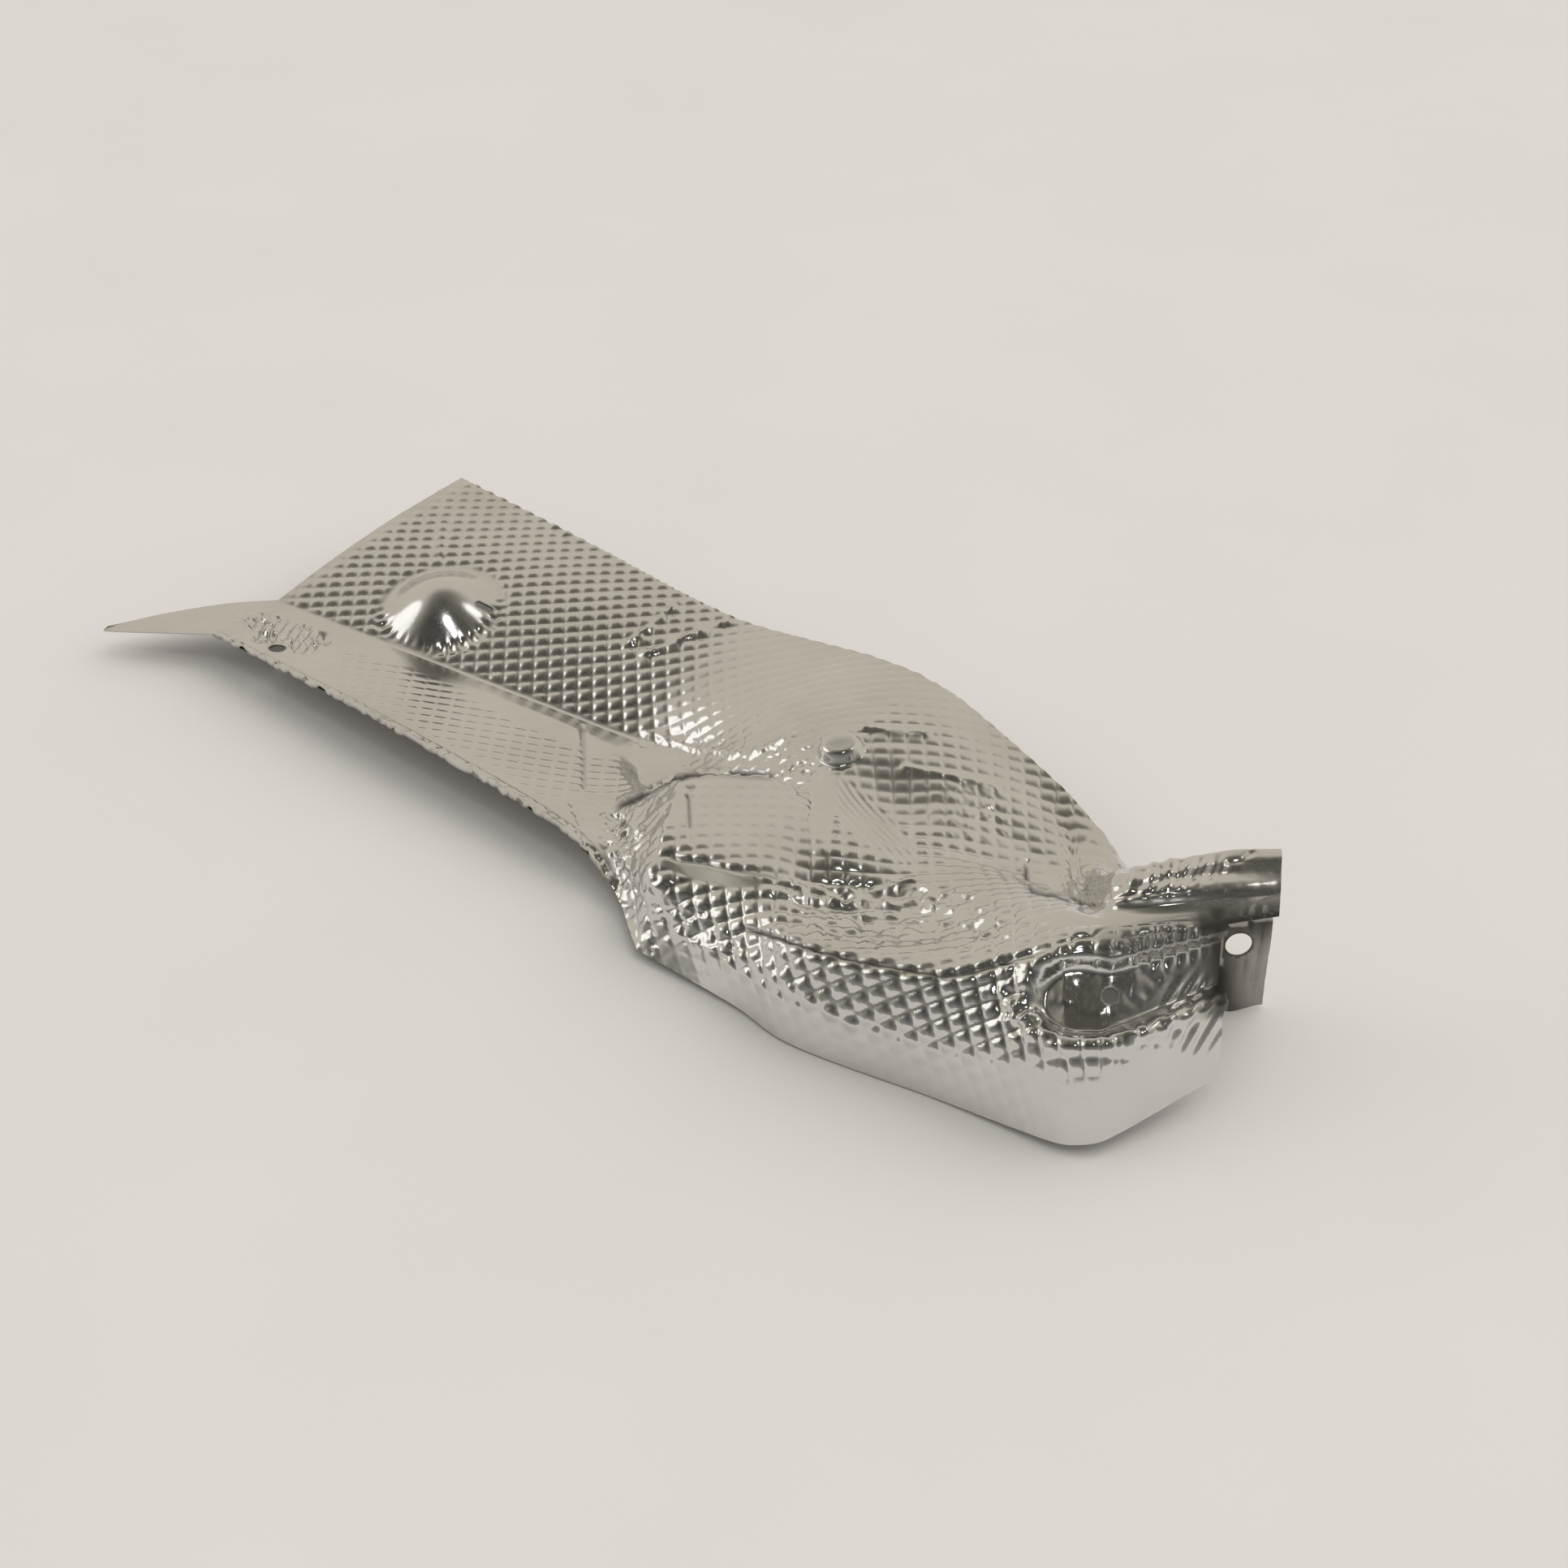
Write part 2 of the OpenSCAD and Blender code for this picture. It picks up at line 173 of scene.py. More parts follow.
CHANNEL_START = ((35, 28), (80, CHANNEL_Z - 10), (95, CHANNEL_Z - 8), (100, CHANNEL_Z - 10),
                 (105, CREST_Z), (115, CREST_Z), (125, CREST_Z - 1), (160, 42), (170, 6))
CHANNEL_END = ((0, 40), (0, CHANNEL_Z), (10, CHANNEL_Z - 1), (15, CHANNEL_Z - 4), (25, CREST_Z + 4),
               (30, CREST_Z + 3), (35, CREST_Z + 1), (55, 42), (65, 14))

# The collar carries the channel's end on: the ways of its wall and of its top, from X
COLLAR_WALL_WAY = math.radians(35)
COLLAR_TOP_WAY = math.radians(57)
NEAR_END = section_at_rim(HUMP_LEN, 0, CHANNEL_END)
COLLAR_WAYS = [lerp(COLLAR_WALL_WAY, COLLAR_TOP_WAY, k / (LINES - 1)) for k in range(LINES)]
COLLAR = NEAR_END + COLLAR_LEN * np.array([(math.cos(way), math.sin(way), 0) for way in COLLAR_WAYS])

# Sections between the panel and the channel's end: place on the far rim, bow, profile
STATIONS = ((55, 30, GUTTER_SIDE), (85, 30, FLAT_TOP_LEFT), (110, 20, HUMP_HEAD),
            (HEAD_AT, 10, FLAT_TOP_RIGHT), (145, 10, HUMP_MIDDLE), (210, 0, HUMP_MOUTH),
            (225, 0, CHANNEL_ROOT), (245, 0, CHANNEL_START))
SECTIONS = ([panel_section(f) for f in (0, 0.5, 1)] + [section_at_rim(*station) for station in STATIONS]
            + [NEAR_END, COLLAR])

# Distance of each section from the panel's left end, as the sweep between sections counts it
BEYOND_GUTTER = (45, 80, 110, 140, 180, 245, 260, 275, HUMP_LEN, HUMP_LEN + COLLAR_LEN)
SECTION_AT = [0, PANEL_LEN / 2, PANEL_LEN] + [PANEL_LEN + d for d in BEYOND_GUTTER]

# The tongue narrows from the flange's left end to its tip, and its outer side bulges
TIP_SHIFT = 26
TIP_DROP = 5
TIP_W = 3
TONGUE_TIP = EDGE_LEFT + [-TONGUE_LEN, -TIP_SHIFT, -TIP_DROP]
TONGUE_BULGE = 10
TONGUE_SHARE = (0, 0.25, 0.6)
TONGUE_SLANT = 1.2
TONGUE_AT = [-TONGUE_LEN * TONGUE_SLANT * (1 - f) for f in TONGUE_SHARE]


def tongue_section(f):
    """A section of the tongue, with the panel's lines gathered at its outer corner."""
    outer = lerp(TONGUE_TIP + [0, TIP_W, 1], FOLD_LEFT, f) + [0, 4 * TONGUE_BULGE * f * (1 - f), 0]
    inner = lerp(TONGUE_TIP, EDGE_LEFT, f)
    shares = [max(0, (k - FOLD) / (LINES - 1 - FOLD)) for k in range(LINES)]
    return np.array([lerp(outer, inner, share) for share in shares])


ALL = np.array([tongue_section(f) for f in TONGUE_SHARE] + SECTIONS)
ALL_AT = np.array(TONGUE_AT + SECTION_AT, float)
TONGUE = len(TONGUE_SHARE)
LAST = len(ALL) - 1

# The sheet kinks at the tongue's root and where the hump's flat top begins. The near wall ends at the notch.
FLAT_TOP = 4
KINKS = (TONGUE, TONGUE + FLAT_TOP)
NOTCH = LAST - 1

# Pressed features
DOME_C = FOLD_LEFT[:2] + [73, 43]
DOME_R = 29
DOME_H = 12
CAP_PLACE = (TONGUE + 5.4, 2.5)
CAP_R = 11
CAP_H = 5
CAP_TOP = 0.6
RECESS_D = 6
BEAD_H = 1.6
RECESS_FROM = TONGUE + 8.1
RECESS_ROUND = 0.35
RECESS_LINE = CREST + 0.5
RECESS_HALF = 0.38
RECESS_WALL = 0.32
BEAD_SPREAD = 0.22

# Holes: places in sections along the sheet and lines across it, and diameters
PAD_PLACE = (TONGUE + 0.3, 7.5)
PAD_D = 8
NEAR_PLACE = (TONGUE + 9.9, 7.45)
NEAR_D = 6.6
FAR_PLACE = (TONGUE + 11.4, 0.8)
FAR_D = 11
SLOT_PLACE = (TONGUE + 0.92, 1.88)
SLOT_LEN = 9
SLOT_W = 3.6
SEAT_W = 5
SEAT_FADE = 6
PROBE = 0.05

# The photograph's camera, in the model's own place
IMAGE = 1932
FOCAL_PX = 3300
SENSOR_W = 36.0
CAMERA_AZ = math.radians(38)
CAMERA_EL = math.radians(34)
CAMERA_D = 1200
CAMERA_AT = np.array([0.0, 0.0, 20.0])
BACK = np.array([math.sin(CAMERA_AZ) * math.cos(CAMERA_EL),
                 -math.cos(CAMERA_AZ) * math.cos(CAMERA_EL), math.sin(CAMERA_EL)])
RIGHT = np.array([math.cos(CAMERA_AZ), math.sin(CAMERA_AZ), 0.0])
UP = np.cross(BACK, RIGHT)

# Fineness of the mesh, and the pieces that the sheet is divided into along its length
ROW_GAP = 1.1
ROW_PERCENT = 70
COLUMN_GAP = 1.5
PIECE_ENDS = (TONGUE + 0.7, TONGUE + 2.1, TONGUE + 4.9, TONGUE + 7.9)


def line_slopes(i, side):
    """Slope of every line at section i, from its neighbours, or from one side of it at a kink."""
    a = i if i in KINKS and side > 0 else max(0, i - 1)
    b = i if i in KINKS and side < 0 else min(LAST, i + 1)
    return (ALL[b] - ALL[a]) / (ALL_AT[b] - ALL_AT[a])


def rows_at(us):
    """The ten points of the section at each place along the sheet."""
    rows = []
    for u in us:
        i = min(int(u), LAST - 1)
        f = u - i
        span = ALL_AT[i + 1] - ALL_AT[i]
        p, q = ALL[i], ALL[i + 1]
        a, b = line_slopes(i, 1) * span, line_slopes(i + 1, -1) * span
        rows.append(p + a * f + (3 * (q - p) - 2 * a - b) * f ** 2 + (2 * (p - q) + a + b) * f ** 3)
    return np.array(rows)


def plain_sheet(us, vs):
    """Points of the sheet before anything is pressed into it."""
    rows = rows_at(us)
    columns = []
    for v in vs:
        j = int(math.floor(v + 0.5))
        f, w = v - j, SOFTNESS[min(j, LINES - 1)]
        if j == 0 or j >= LINES - 1 or abs(f) >= w:
            k = min(LINES - 2, int(v))
            columns.append(rows[:, k] * (1 - v + k) + rows[:, k + 1] * (v - k))
            continue
        g = (f + w) / (2 * w)
        before = rows[:, j] * (1 - w) + rows[:, j - 1] * w
        after = rows[:, j] * (1 - w) + rows[:, j + 1] * w
        columns.append(before * (1 - g) ** 2 + rows[:, j] * 2 * g * (1 - g) + after * g ** 2)
    return np.stack(columns, 1)


def normals_of(skin):
    """Unit normals of a grid of points, outward."""
    return unit(np.cross(np.gradient(skin, axis=1), np.gradient(skin, axis=0)))


def recess_shape(u, v):
    """How far into the recess a place is: 1 at its edge, less inside."""
    end = np.maximum(0, RECESS_FROM - u) / RECESS_ROUND
    side = (v - RECESS_LINE) / RECESS_HALF
    return np.sqrt(end ** 2 + side ** 2), np.minimum(1, smooth(2 * end) + smooth(side))


def press_height(skin, u, v):
    """Height of the dome, the cap and the recess."""
    r = np.linalg.norm(skin[..., :2] - DOME_C, axis=-1) / DOME_R
    push = DOME_H * np.maximum(0, 1 - r * r) ** 1.5
    r = np.linalg.norm(skin - CAP_C, axis=-1) / CAP_R
    push += CAP_H * (1 - smooth((r - CAP_TOP) / (1 - CAP_TOP)))
    r, outer = recess_shape(u, v)
    bead = BEAD_H * outer * np.exp(-((r - 1 - BEAD_SPREAD) / BEAD_SPREAD) ** 2)
    return push + np.where(v > CREST - 1, bead - RECESS_D * smooth((1 - r) / RECESS_WALL), 0)


def press(skin, u, v):
    """The dome, the cap and the recess, pressed along the sheet's normal."""
    return skin + normals_of(skin) * press_height(skin, u, v)[..., None]


CAP_C = plain_sheet([CAP_PLACE[0]], [CAP_PLACE[1]])[0, 0]


def pressed_patch(u, v):
    """Three by three points of the pressed sheet round a place on it."""
    us, vs = np.array([u - PROBE, u, u + PROBE]), np.array([v - PROBE, v, v + PROBE])
    return press(plain_sheet(us, vs), *np.meshgrid(us, vs, indexing="ij"))


def hole_at(place, d):
    """A hole's middle, its way out and its diameter."""
    patch = pressed_patch(*place)
    return patch[1, 1], unit(np.cross(patch[1, 2] - patch[1, 0], patch[2, 1] - patch[0, 1])), d


def seat(skin, centre, way, d):
    """Pulls the skin near a hole into the hole's plane."""
    gap = (skin - centre) @ way
    r = np.linalg.norm(skin - centre - gap[..., None] * way, axis=-1)
    hold = (1 - smooth((r - d / 2 - SEAT_W) / SEAT_FADE)) * (1 - smooth(np.abs(gap) / SEAT_FADE - 1))
    return skin - way * (gap * hold)[..., None]


def photo_place(points):
    """Where points fall in the photograph, in its pixels, and how far off they are."""
    d = points - (CAMERA_AT + BACK * CAMERA_D)
    depth = -(d @ BACK)
    px = IMAGE / 2 + FOCAL_PX * (d @ RIGHT) / depth
    py = IMAGE / 2 - FOCAL_PX * (d @ UP) / depth
    return px, py, depth


def mesh_places(strips, percent, gap):
    """Places of the mesh's rows or columns: no wider apart than the gap in this percentage of each strip."""
    places = []
    for k, lengths in enumerate(np.linalg.norm(strips, axis=2)):
        steps = max(2, int(math.ceil(np.percentile(lengths, percent) / gap)))
        places += [k + step / steps for step in range(steps)]
    return np.array(places + [float(len(strips))])


PAD_HOLE = hole_at(PAD_PLACE, PAD_D)
NEAR_HOLE = hole_at(NEAR_PLACE, NEAR_D)
FAR_HOLE = hole_at(FAR_PLACE, FAR_D)
SLOT_C, SLOT_OUT = hole_at(SLOT_PLACE, SLOT_W)[:2]
SLOT_SIDE = unit(np.cross(SLOT_OUT, np.append(SLOT_C[:2] - DOME_C, 0)))
SLOT_ALONG = np.cross(SLOT_SIDE, SLOT_OUT)

# The waffle: its pitch and height, and the way its rows run when the sheet is flat
PITCH = 7.3
WAFFLE_H = 1.0
FLAT_ALONG = 4.0
FLAT_ACROSS = 2.2
PILLOW = 0.95
WAFFLE_TURN = math.radians(38)

# How the flattened sheet is worked out: a coarse net first, then the whole mesh
COARSE = (6, 5)
ROUGH_ROUNDS = 600
FINE_ROUNDS = 30
SPRING = 0.2
NOISE_SIZE = 64

# A point counts as seen when it lies within this depth of the nearest one in its patch of pixels. The
# underside gets painted shade only where it is seen, on this many strips from the far rim.
SEEN_PX = 6
SEEN_MM = 6
SEEN_UNDER = 2

# Where the waffle is weaker than on the panel: its level there, and the ranges of u beyond the tongue and
# of v. A range is its start and its end, None for no limit, and how softly each of the two comes.
ANYWHERE = (None, None, 0, 0)
WEAKER = {
    "tongue": (0.15, (None, 0.1, 0, 0.1), ANYWHERE),
    "flange": (0.4, (None, 3.3, 0, 0.6), (FOLD, None, 0.3, 0)),
    "beside the fold": (0.0, (None, 2.6, 0, 0.4), (FOLD - 0.1, FOLD + 2.2, 0.1, 1.2)),
    "near wall": (0.3, (4, None, 0.5, 0), (8.05, None, 0.25, 0)),
    "near edge": (0.4, ANYWHERE, (8.35, None, 0.2, 0)),
    "hem": (0.0, (None, 3.2, 0, 0.2), (8.2, None, 0.2, 0)),
    "far slope": (0.5, (1.7, None, 0.8, 0), (None, 4, 0, 0.5)),
    "shelf": (0.6, (3.9, None, 0.2, 0), (4.9, 6.1, 0.2, 0.2)),
    "channel's end": (0.1, (NOTCH - TONGUE - 0.6, None, 0.4, 0), ANYWHERE),
}

# There is no waffle on the dome and in the recess: how far out it begins, and how softly
PLAIN_ROUND_DOME = (1.05, 0.15)
PLAIN_ROUND_RECESS = (1.1, 0.2)

# The crimped hem on the flange's edge: where it thickens, where it is folded back, how high, how dark its
# painted shade
HEM_ALONG = (-0.05, 3.1, 0.1, 0.2)
HEM_END = 3
HEM_FROM = 8.14
HEM_EASE = 0.16
LIP_FROM = 8.55
LIP_EASE = 0.08
LIP_H = 0.8
CRIMP_H = 1.0
CRIMP_MM = 2.6
FOLDED_HALF = 0.06
FOLD_PAINTED_SHADE = 0.8
FOLDED_SHARE = 0.6

# Low swells of the whole sheet, the wander of pleats, the cap's fullness, and breaks along a crease
SWELL_H = 0.12
SWELL_MM = 16
PLEAT_WANDER = 0.25
WANDER_PX = 35
CAP_FULL = 0.5
BREAK_PX = 9
CREASE_EASE = 0.08

# Crumpled foil: the share of its big facets, how much finer the small ones are, and its mean height
BIG_SHARE = 0.65
FINER = 2.3
FOIL_MEAN = 0.6

# Crinkles round the foot of the dome: where, how wide, how many, how high, and which way they face
SKIRT_AT = 1.03
SKIRT_WIDTH = 0.11
SKIRT_FOLDS = 34
SKIRT_H = 0.8
SKIRT_TURN = math.radians(38)

# Holes: points round one and the bearing of the first, clear width left round it, how far round it the
# sheet's curve is fitted, where the relief begins again and how softly, and how dark the painted shade on its
# edge is
HOLE_POINTS = 48
EDGE_START = 0.01
CLEAR = 0.5
FIT_MM = 4
RIM_FLAT = 0.5
RIM_FADE = 3
RIM_PAINTED_SHADE = 0.7
FAR_OUT = 1e6
ROUND = 2 * math.pi

# The look of the metal: tints, then clear, clouded and dusty roughness and the parts of the noise that they
# span, then the grain's strength and depth, and the rolling lines' way, scale and share of it
METAL_TINTS = [(0.3, (0.66, 0.65, 0.63)), (0.55, (0.71, 0.705, 0.69)), (0.8, (0.74, 0.73, 0.705))]
GLOSS = (0.09, 0.16, 0.1)
CLOUDED = (0.3, 0.7)
DUSTY = (0.45, 0.75)
GRAIN = (0.12, 0.0001)
ROLLING_TURN = 0.66
ROLLING_SCALE = (40.0, 2200.0, 40.0)
ROLLING_SHARE = 0.5
# Painted shade: the dark tint laid on the marked lines and hole edges, and the roughness added there
PAINTED_SHADE_TINT = (0.1, 0.095, 0.085)
PAINTED_SHADE_GLOSS = 0.3
# The underside: a darker tint, which is painted shade, and more roughness
UNDERSIDE_PAINTED_SHADE = (0.36, 0.35, 0.335)
INNER_GLOSS = 0.12
TABLE_TINTS = [(0.3, (0.775, 0.745, 0.71)), (0.7, (0.795, 0.765, 0.73))]
TABLE_HALF = 12.0

# The room as it is seen and mirrored: colours by height, from level up to straight above, beyond the table
# and behind the camera, and where the one gives way to the other
FAR_TURN = CAMERA_AZ + math.pi / 2
FAR_WAY = (math.cos(FAR_TURN), math.sin(FAR_TURN), 0.0)
FAR_SIDE = [(0.0, (0.63, 0.59, 0.5)), (0.51, (0.62, 0.58, 0.5)), (0.61, (0.42, 0.395, 0.33)),
            (0.71, (0.22, 0.205, 0.165)), (1.0, (0.08, 0.075, 0.062))]
NEAR_SIDE = [(0.0, (0.34, 0.33, 0.31)), (0.3, (0.15, 0.143, 0.132)), (0.6, (0.06, 0.057, 0.052)),
             (1.0, (0.08, 0.075, 0.062))]
SIDES = (-0.35, 0.15)

# The room's soft light on the table: its main direction, its level elsewhere and its level there
SOFT_WAY = (0.42, 0.74, 0.52)
SOFT_LEVELS = (0.45, 2.1)
SOFT_FROM = 0.5
SOFT_TINT = (1.0, 0.985, 0.96, 1.0)

# Lamps: bearing from the far direction towards the right, height, and width across, in degrees, then the
# share of the table's light that comes from it, and its colour
LAMPS = [("camera side", 172, 64, 9, 0.045, (1.0, 0.98, 0.95)),
         ("right", 76, 55, 16, 0.02, (1.0, 0.985, 0.96)),
         ("left", -78, 30, 34, 0.035, (0.96, 0.98, 1.0))]

# Places in the photograph, in its pixels. An oval is its middle, its two radii and its turn in degrees.
PLAIN_OVALS = {
    "pad": (352, 789, 62, 27, 14),
    "cap": (1028, 921, 27, 26, 0),
    "bright patch": (1012, 992, 14, 40, 0),
    "streaked fold": (1070, 1010, 78, 24, 42),
    "shoulder": (880, 1078, 62, 13, 12),
    "facet": (800, 1000, 46, 26, -25),
    "crest, channel end": (1395, 1126, 120, 14, -4),
}

# Broad hollows and rises: the oval and its height in millimetres
HOLLOWS = {
    "behind the crest": ((1105, 1132, 160, 50, 4), -4.5),
    "right of the cap": ((1098, 985, 80, 62, 20), -4.0),
    "pad, dent": ((398, 786, 15, 10, 10), -2.6),
    "pad, left": ((322, 782, 26, 13, 20), -2.4),
    "hump's head": ((800, 1075, 60, 36, 40), 2.0),
    "channel's step": ((1475, 1100, 130, 24, -6), 3.0),
}

# Crumpled foil: the oval, its height in millimetres and the size of its facets
CRUMPLES = {
    "head of the hump": ((880, 922, 90, 13, 4), 1.5, 4.5),
    "beside the cap": ((985, 915, 34, 16, -30), 1.4, 4.5),
    "seam": ((985, 952, 34, 14, 0), 1.4, 4.5),
    "seam's left end": ((850, 968, 16, 12, 0), 1.4, 4.5),
    "facet": ((790, 1003, 44, 32, -25), 2.0, 6.0),
    "corner": ((768, 1035, 22, 36, -20), 2.6, 6.0),
    "near corner": ((785, 1110, 46, 20, 42), 2.0, 8.0),
    "left of the band": ((868, 1148, 70, 22, 30), 1.8, 6.0),
    "recess end": ((1252, 1235, 26, 56, -18), 3.0, 6.0),
    "recess floor": ((1370, 1215, 100, 32, -12), 0.9, 7.0),
    "recess lip": ((1390, 1270, 110, 10, -14), 1.0, 4.0),
    "channel root": ((1340, 1092, 36, 18, -10), 1.4, 4.5),
    "behind the crest": ((1105, 1130, 155, 44, 4), 2.8, 8.5),
    "far slope": ((1190, 1000, 60, 40, 30), 0.7, 5.0),
    "far nick": ((690, 654, 12, 7, 30), 1.4, 5.0),
    "near nick": ((801, 1163, 10, 12, 0), 1.2, 4.0),
    "pad": ((345, 780, 56, 22, 14), 1.6, 6.0),
    "channel's far wall": ((1550, 1200, 34, 60, 0), 1.0, 9.0),
}

# Pleats: the oval, the gap between them in pixels, how far they lean to the right going up, their height
PLEATS = {
    "channel": ((1415, 1080, 105, 22, -6), 22, 0.32, 0.6),
    "recess, right end": ((1440, 1168, 52, 24, -8), 15, 0.1, 0.6),
    "streaked fold": ((1075, 1012, 74, 24, 42), 11, -0.9, 0.35),
    "pad": ((352, 783, 48, 20, 14), 12, 0.8, 1.0),
    "near wall, channel end": ((1470, 1250, 40, 50, 0), 17, 0.5, 0.5),
    "channel's far wall": ((1550, 1170, 30, 50, 0), 15, 0.15, 0.6),
}

# Creases: the line, its half width in pixels, its height in millimetres, below 0 for a groove, and how much
# of it is broken up along its length
CREASES = {
    "flange, upper": (((718, 890), (720, 975)), 3.5, -0.9, 0.2),
    "flange, lower": (((702, 983), (716, 1018)), 3.5, -0.9, 0.2),
    "shelf": (((847, 977), (852, 1042)), 3.2, -1.1, 0.2),
    "panel": (((545, 640), (546, 690)), 7, 0.7, 0.1),
    "panel diagonal, left": (((842, 738), (800, 775), (765, 802)), 4, 1.5, 0.9),
    "panel diagonal, right": (((905, 765), (850, 785), (780, 815)), 4, 1.5, 0.9),
    "head": (((780, 893), (830, 915), (860, 925), (900, 930), (940, 925), (985, 905)), 5, 1.4, 0.6),
    "seam": (((754, 999), (794, 977), (829, 960), (873, 951), (961, 956)), 3, -1.3, 0.1),
    "crack": (((1255, 1061), (1267, 1061), (1264, 1082), (1272, 1099), (1297, 1103), (1323, 1111),
               (1356, 1118)), 2.6, -1.2, 0.1),
    "shelf's lower edge": (((817, 1056), (864, 1062), (935, 1077), (964, 1083)), 4, -0.9, 0.3),
    "hump's back": (((964, 1083), (993, 1103), (1011, 1109), (1052, 1109), (1090, 1095), (1140, 1083)),
                    5, 1.3, 0.3),
    "crest": (((899, 1139), (952, 1153), (1008, 1171), (1052, 1183), (1160, 1202), (1200, 1197),
               (1270, 1175), (1330, 1155), (1390, 1150)), 3, -1.0, 0.0),
    "near wall": (((905, 1165), (960, 1205), (1060, 1270)), 7, 0.6, 0.1),
    "far slope, upper": (((1058, 897), (1100, 903), (1152, 905)), 4, 1.2, 0.4),
    "far slope, lower": (((1105, 942), (1180, 960), (1236, 973)), 4, 1.2, 0.4),
    "hump's left side": (((740, 1000), (757, 1040), (796, 1090)), 5, 1.2, 0.5),
    "channel's end": (((1508, 1062), (1530, 1060), (1545, 1048)), 4, -0.8, 0.2),
}

# Painted shade: dark lines along the seams and creases where the sheet is folded back on itself, and broad
# painted shade on the far wall's inside and the recess end: the line, its half width in pixels, its strength
PAINTED_SHADE_LINES = {
    "seam": (((754, 999), (794, 977), (829, 960), (873, 951), (961, 957)), 4.2, 1.0),
    "shelf": (((848, 979), (850, 1020)), 2.4, 0.6),
    "flange": (((718, 892), (720, 972)), 3.0, 0.25),
    "crest": (((905, 1141), (952, 1154), (1008, 1172), (1052, 1184), (1160, 1203), (1200, 1198),
               (1262, 1178)), 3.2, 1.0),
    "crack": (((1264, 1062), (1264, 1082), (1272, 1099), (1297, 1103), (1323, 1111), (1350, 1118)), 3.0, 0.9),
    "lower edge of the shelf": (((820, 1057), (864, 1063), (935, 1078), (964, 1084)), 2.2, 0.5),
    "far wall's top": (((1470, 1142), (1540, 1134), (1600, 1128)), 26.0, 0.95),
    "far wall, left": (((1500, 1110), (1503, 1170), (1506, 1260)), 24.0, 0.95),
    "recess, right end": (((1350, 1172), (1430, 1158), (1510, 1146)), 20.0, 0.6),
}


def flattened(skin):
    """Each point's place in the sheet as it lay flat before pressing, so that the waffle keeps its pitch.
    It starts from the plan, stretched to the true lengths, and relaxes as a net of springs would."""
    sx, sy = COARSE
    rough = skin[::sx, ::sy]
    step = rough[:, 1:] - rough[:, :-1]
    run = unit(step[..., :2]) * np.linalg.norm(step, axis=-1, keepdims=True)
    fold = rough.shape[1] * FOLD // (LINES - 1)
    across = np.concatenate([np.zeros_like(run[:, :1]), np.cumsum(run, axis=1)], axis=1)
    flat = rough[:, fold:fold + 1, :2] + across - across[:, fold:fold + 1]
    flat = relaxed(flat, rough, ROUGH_ROUNDS)
    flat = refined(refined(flat, sx, skin.shape[0]).transpose(1, 0, 2), sy, skin.shape[1])
    return relaxed(flat.transpose(1, 0, 2), skin, FINE_ROUNDS)


def refined(net, step, count):
    """A net with this count of rows, from one that has only every so many of them."""
    at = np.interp(np.arange(count), np.arange(0, count, step), np.arange(len(net)))
    i = np.minimum(at.astype(int), len(net) - 2)
    f = (at - i)[:, None, None]
    return net[i] * (1 - f) + net[i + 1] * f


def relaxed(flat, skin, rounds):
    """Moves the points of a flat net until each is about as far from its neighbours as on the skin."""
    ways = ((1, 0), (0, 1), (1, 1), (1, -1))
    pairs = []
    for a, b in ways:
        here = (slice(0, skin.shape[0] - a), slice(max(0, -b), skin.shape[1] - max(0, b)))
        there = (slice(a, skin.shape[0]), slice(max(0, b), skin.shape[1] + min(0, b)))
        pairs.append((here, there, np.linalg.norm(skin[there] - skin[here], axis=-1)))
    for _ in range(rounds):
        move = np.zeros_like(flat)
        for here, there, length in pairs:
            gap = flat[there] - flat[here]
            now = np.maximum(np.linalg.norm(gap, axis=-1), 1e-6)
            pull = gap * (0.5 * (1 - length / now))[..., None]
            move[here] += pull
            move[there] -= pull
        flat = flat + move * SPRING
    return flat


def value_noise(x, y, seed):
    """Smooth noise from -1 to 1 over a plane, repeatable from its seed."""
    table = np.random.default_rng(seed).uniform(-1, 1, (NOISE_SIZE, NOISE_SIZE))
    i, j = np.floor(x).astype(int), np.floor(y).astype(int)
    f, g = smooth(x - i), smooth(y - j)
    at = lambda a, b: table[(i + a) % NOISE_SIZE, (j + b) % NOISE_SIZE]
    return (at(0, 0) * (1 - f) + at(1, 0) * f) * (1 - g) + (at(0, 1) * (1 - f) + at(1, 1) * f) * g


def facets(x, y, seed):
    """Crumpled foil from 0 to 1: flat facets that meet at sharp ridges, two sizes of them."""
    big = 1 - np.abs(value_noise(x, y, seed))
    small = 1 - np.abs(value_noise(FINER * x + 5, FINER * y + 9, seed + 1))
    return BIG_SHARE * big + (1 - BIG_SHARE) * small


def line_distance(px, py, points):
    """Distance in pixels from a broken line, and the share of the line passed at its nearest point."""
    points = np.array(points, float)
    lengths = np.linalg.norm(np.diff(points, axis=0), axis=1)
    total, best, share, passed = lengths.sum(), np.full(px.shape, 1e9), np.zeros(px.shape), 0
    for p, q, length in zip(points[:-1], points[1:], lengths):
        way = (q - p) / length
        along = np.clip((px - p[0]) * way[0] + (py - p[1]) * way[1], 0, length)
        gap = np.hypot(px - p[0] - along * way[0], py - p[1] - along * way[1])
        nearer = gap < best
        best = np.where(nearer, gap, best)
        share = np.where(nearer, (passed + along) / total, share)
        passed += length
    return best, share


def oval_radius(px, py, place):
    """Distance from the middle of an oval of the photograph, 1 on its edge."""
    cx, cy, rx, ry, turn = place
    c, s = math.cos(math.radians(turn)), math.sin(math.radians(turn))
    x, y = (px - cx) * c + (py - cy) * s, -(px - cx) * s + (py - cy) * c
    return np.hypot(x / rx, y / ry)


def oval(px, py, place):
    """1 inside an oval of the photograph, easing to 0 a quarter as far out again."""
    return 1 - smooth((oval_radius(px, py, place) - 0.75) / 0.5)


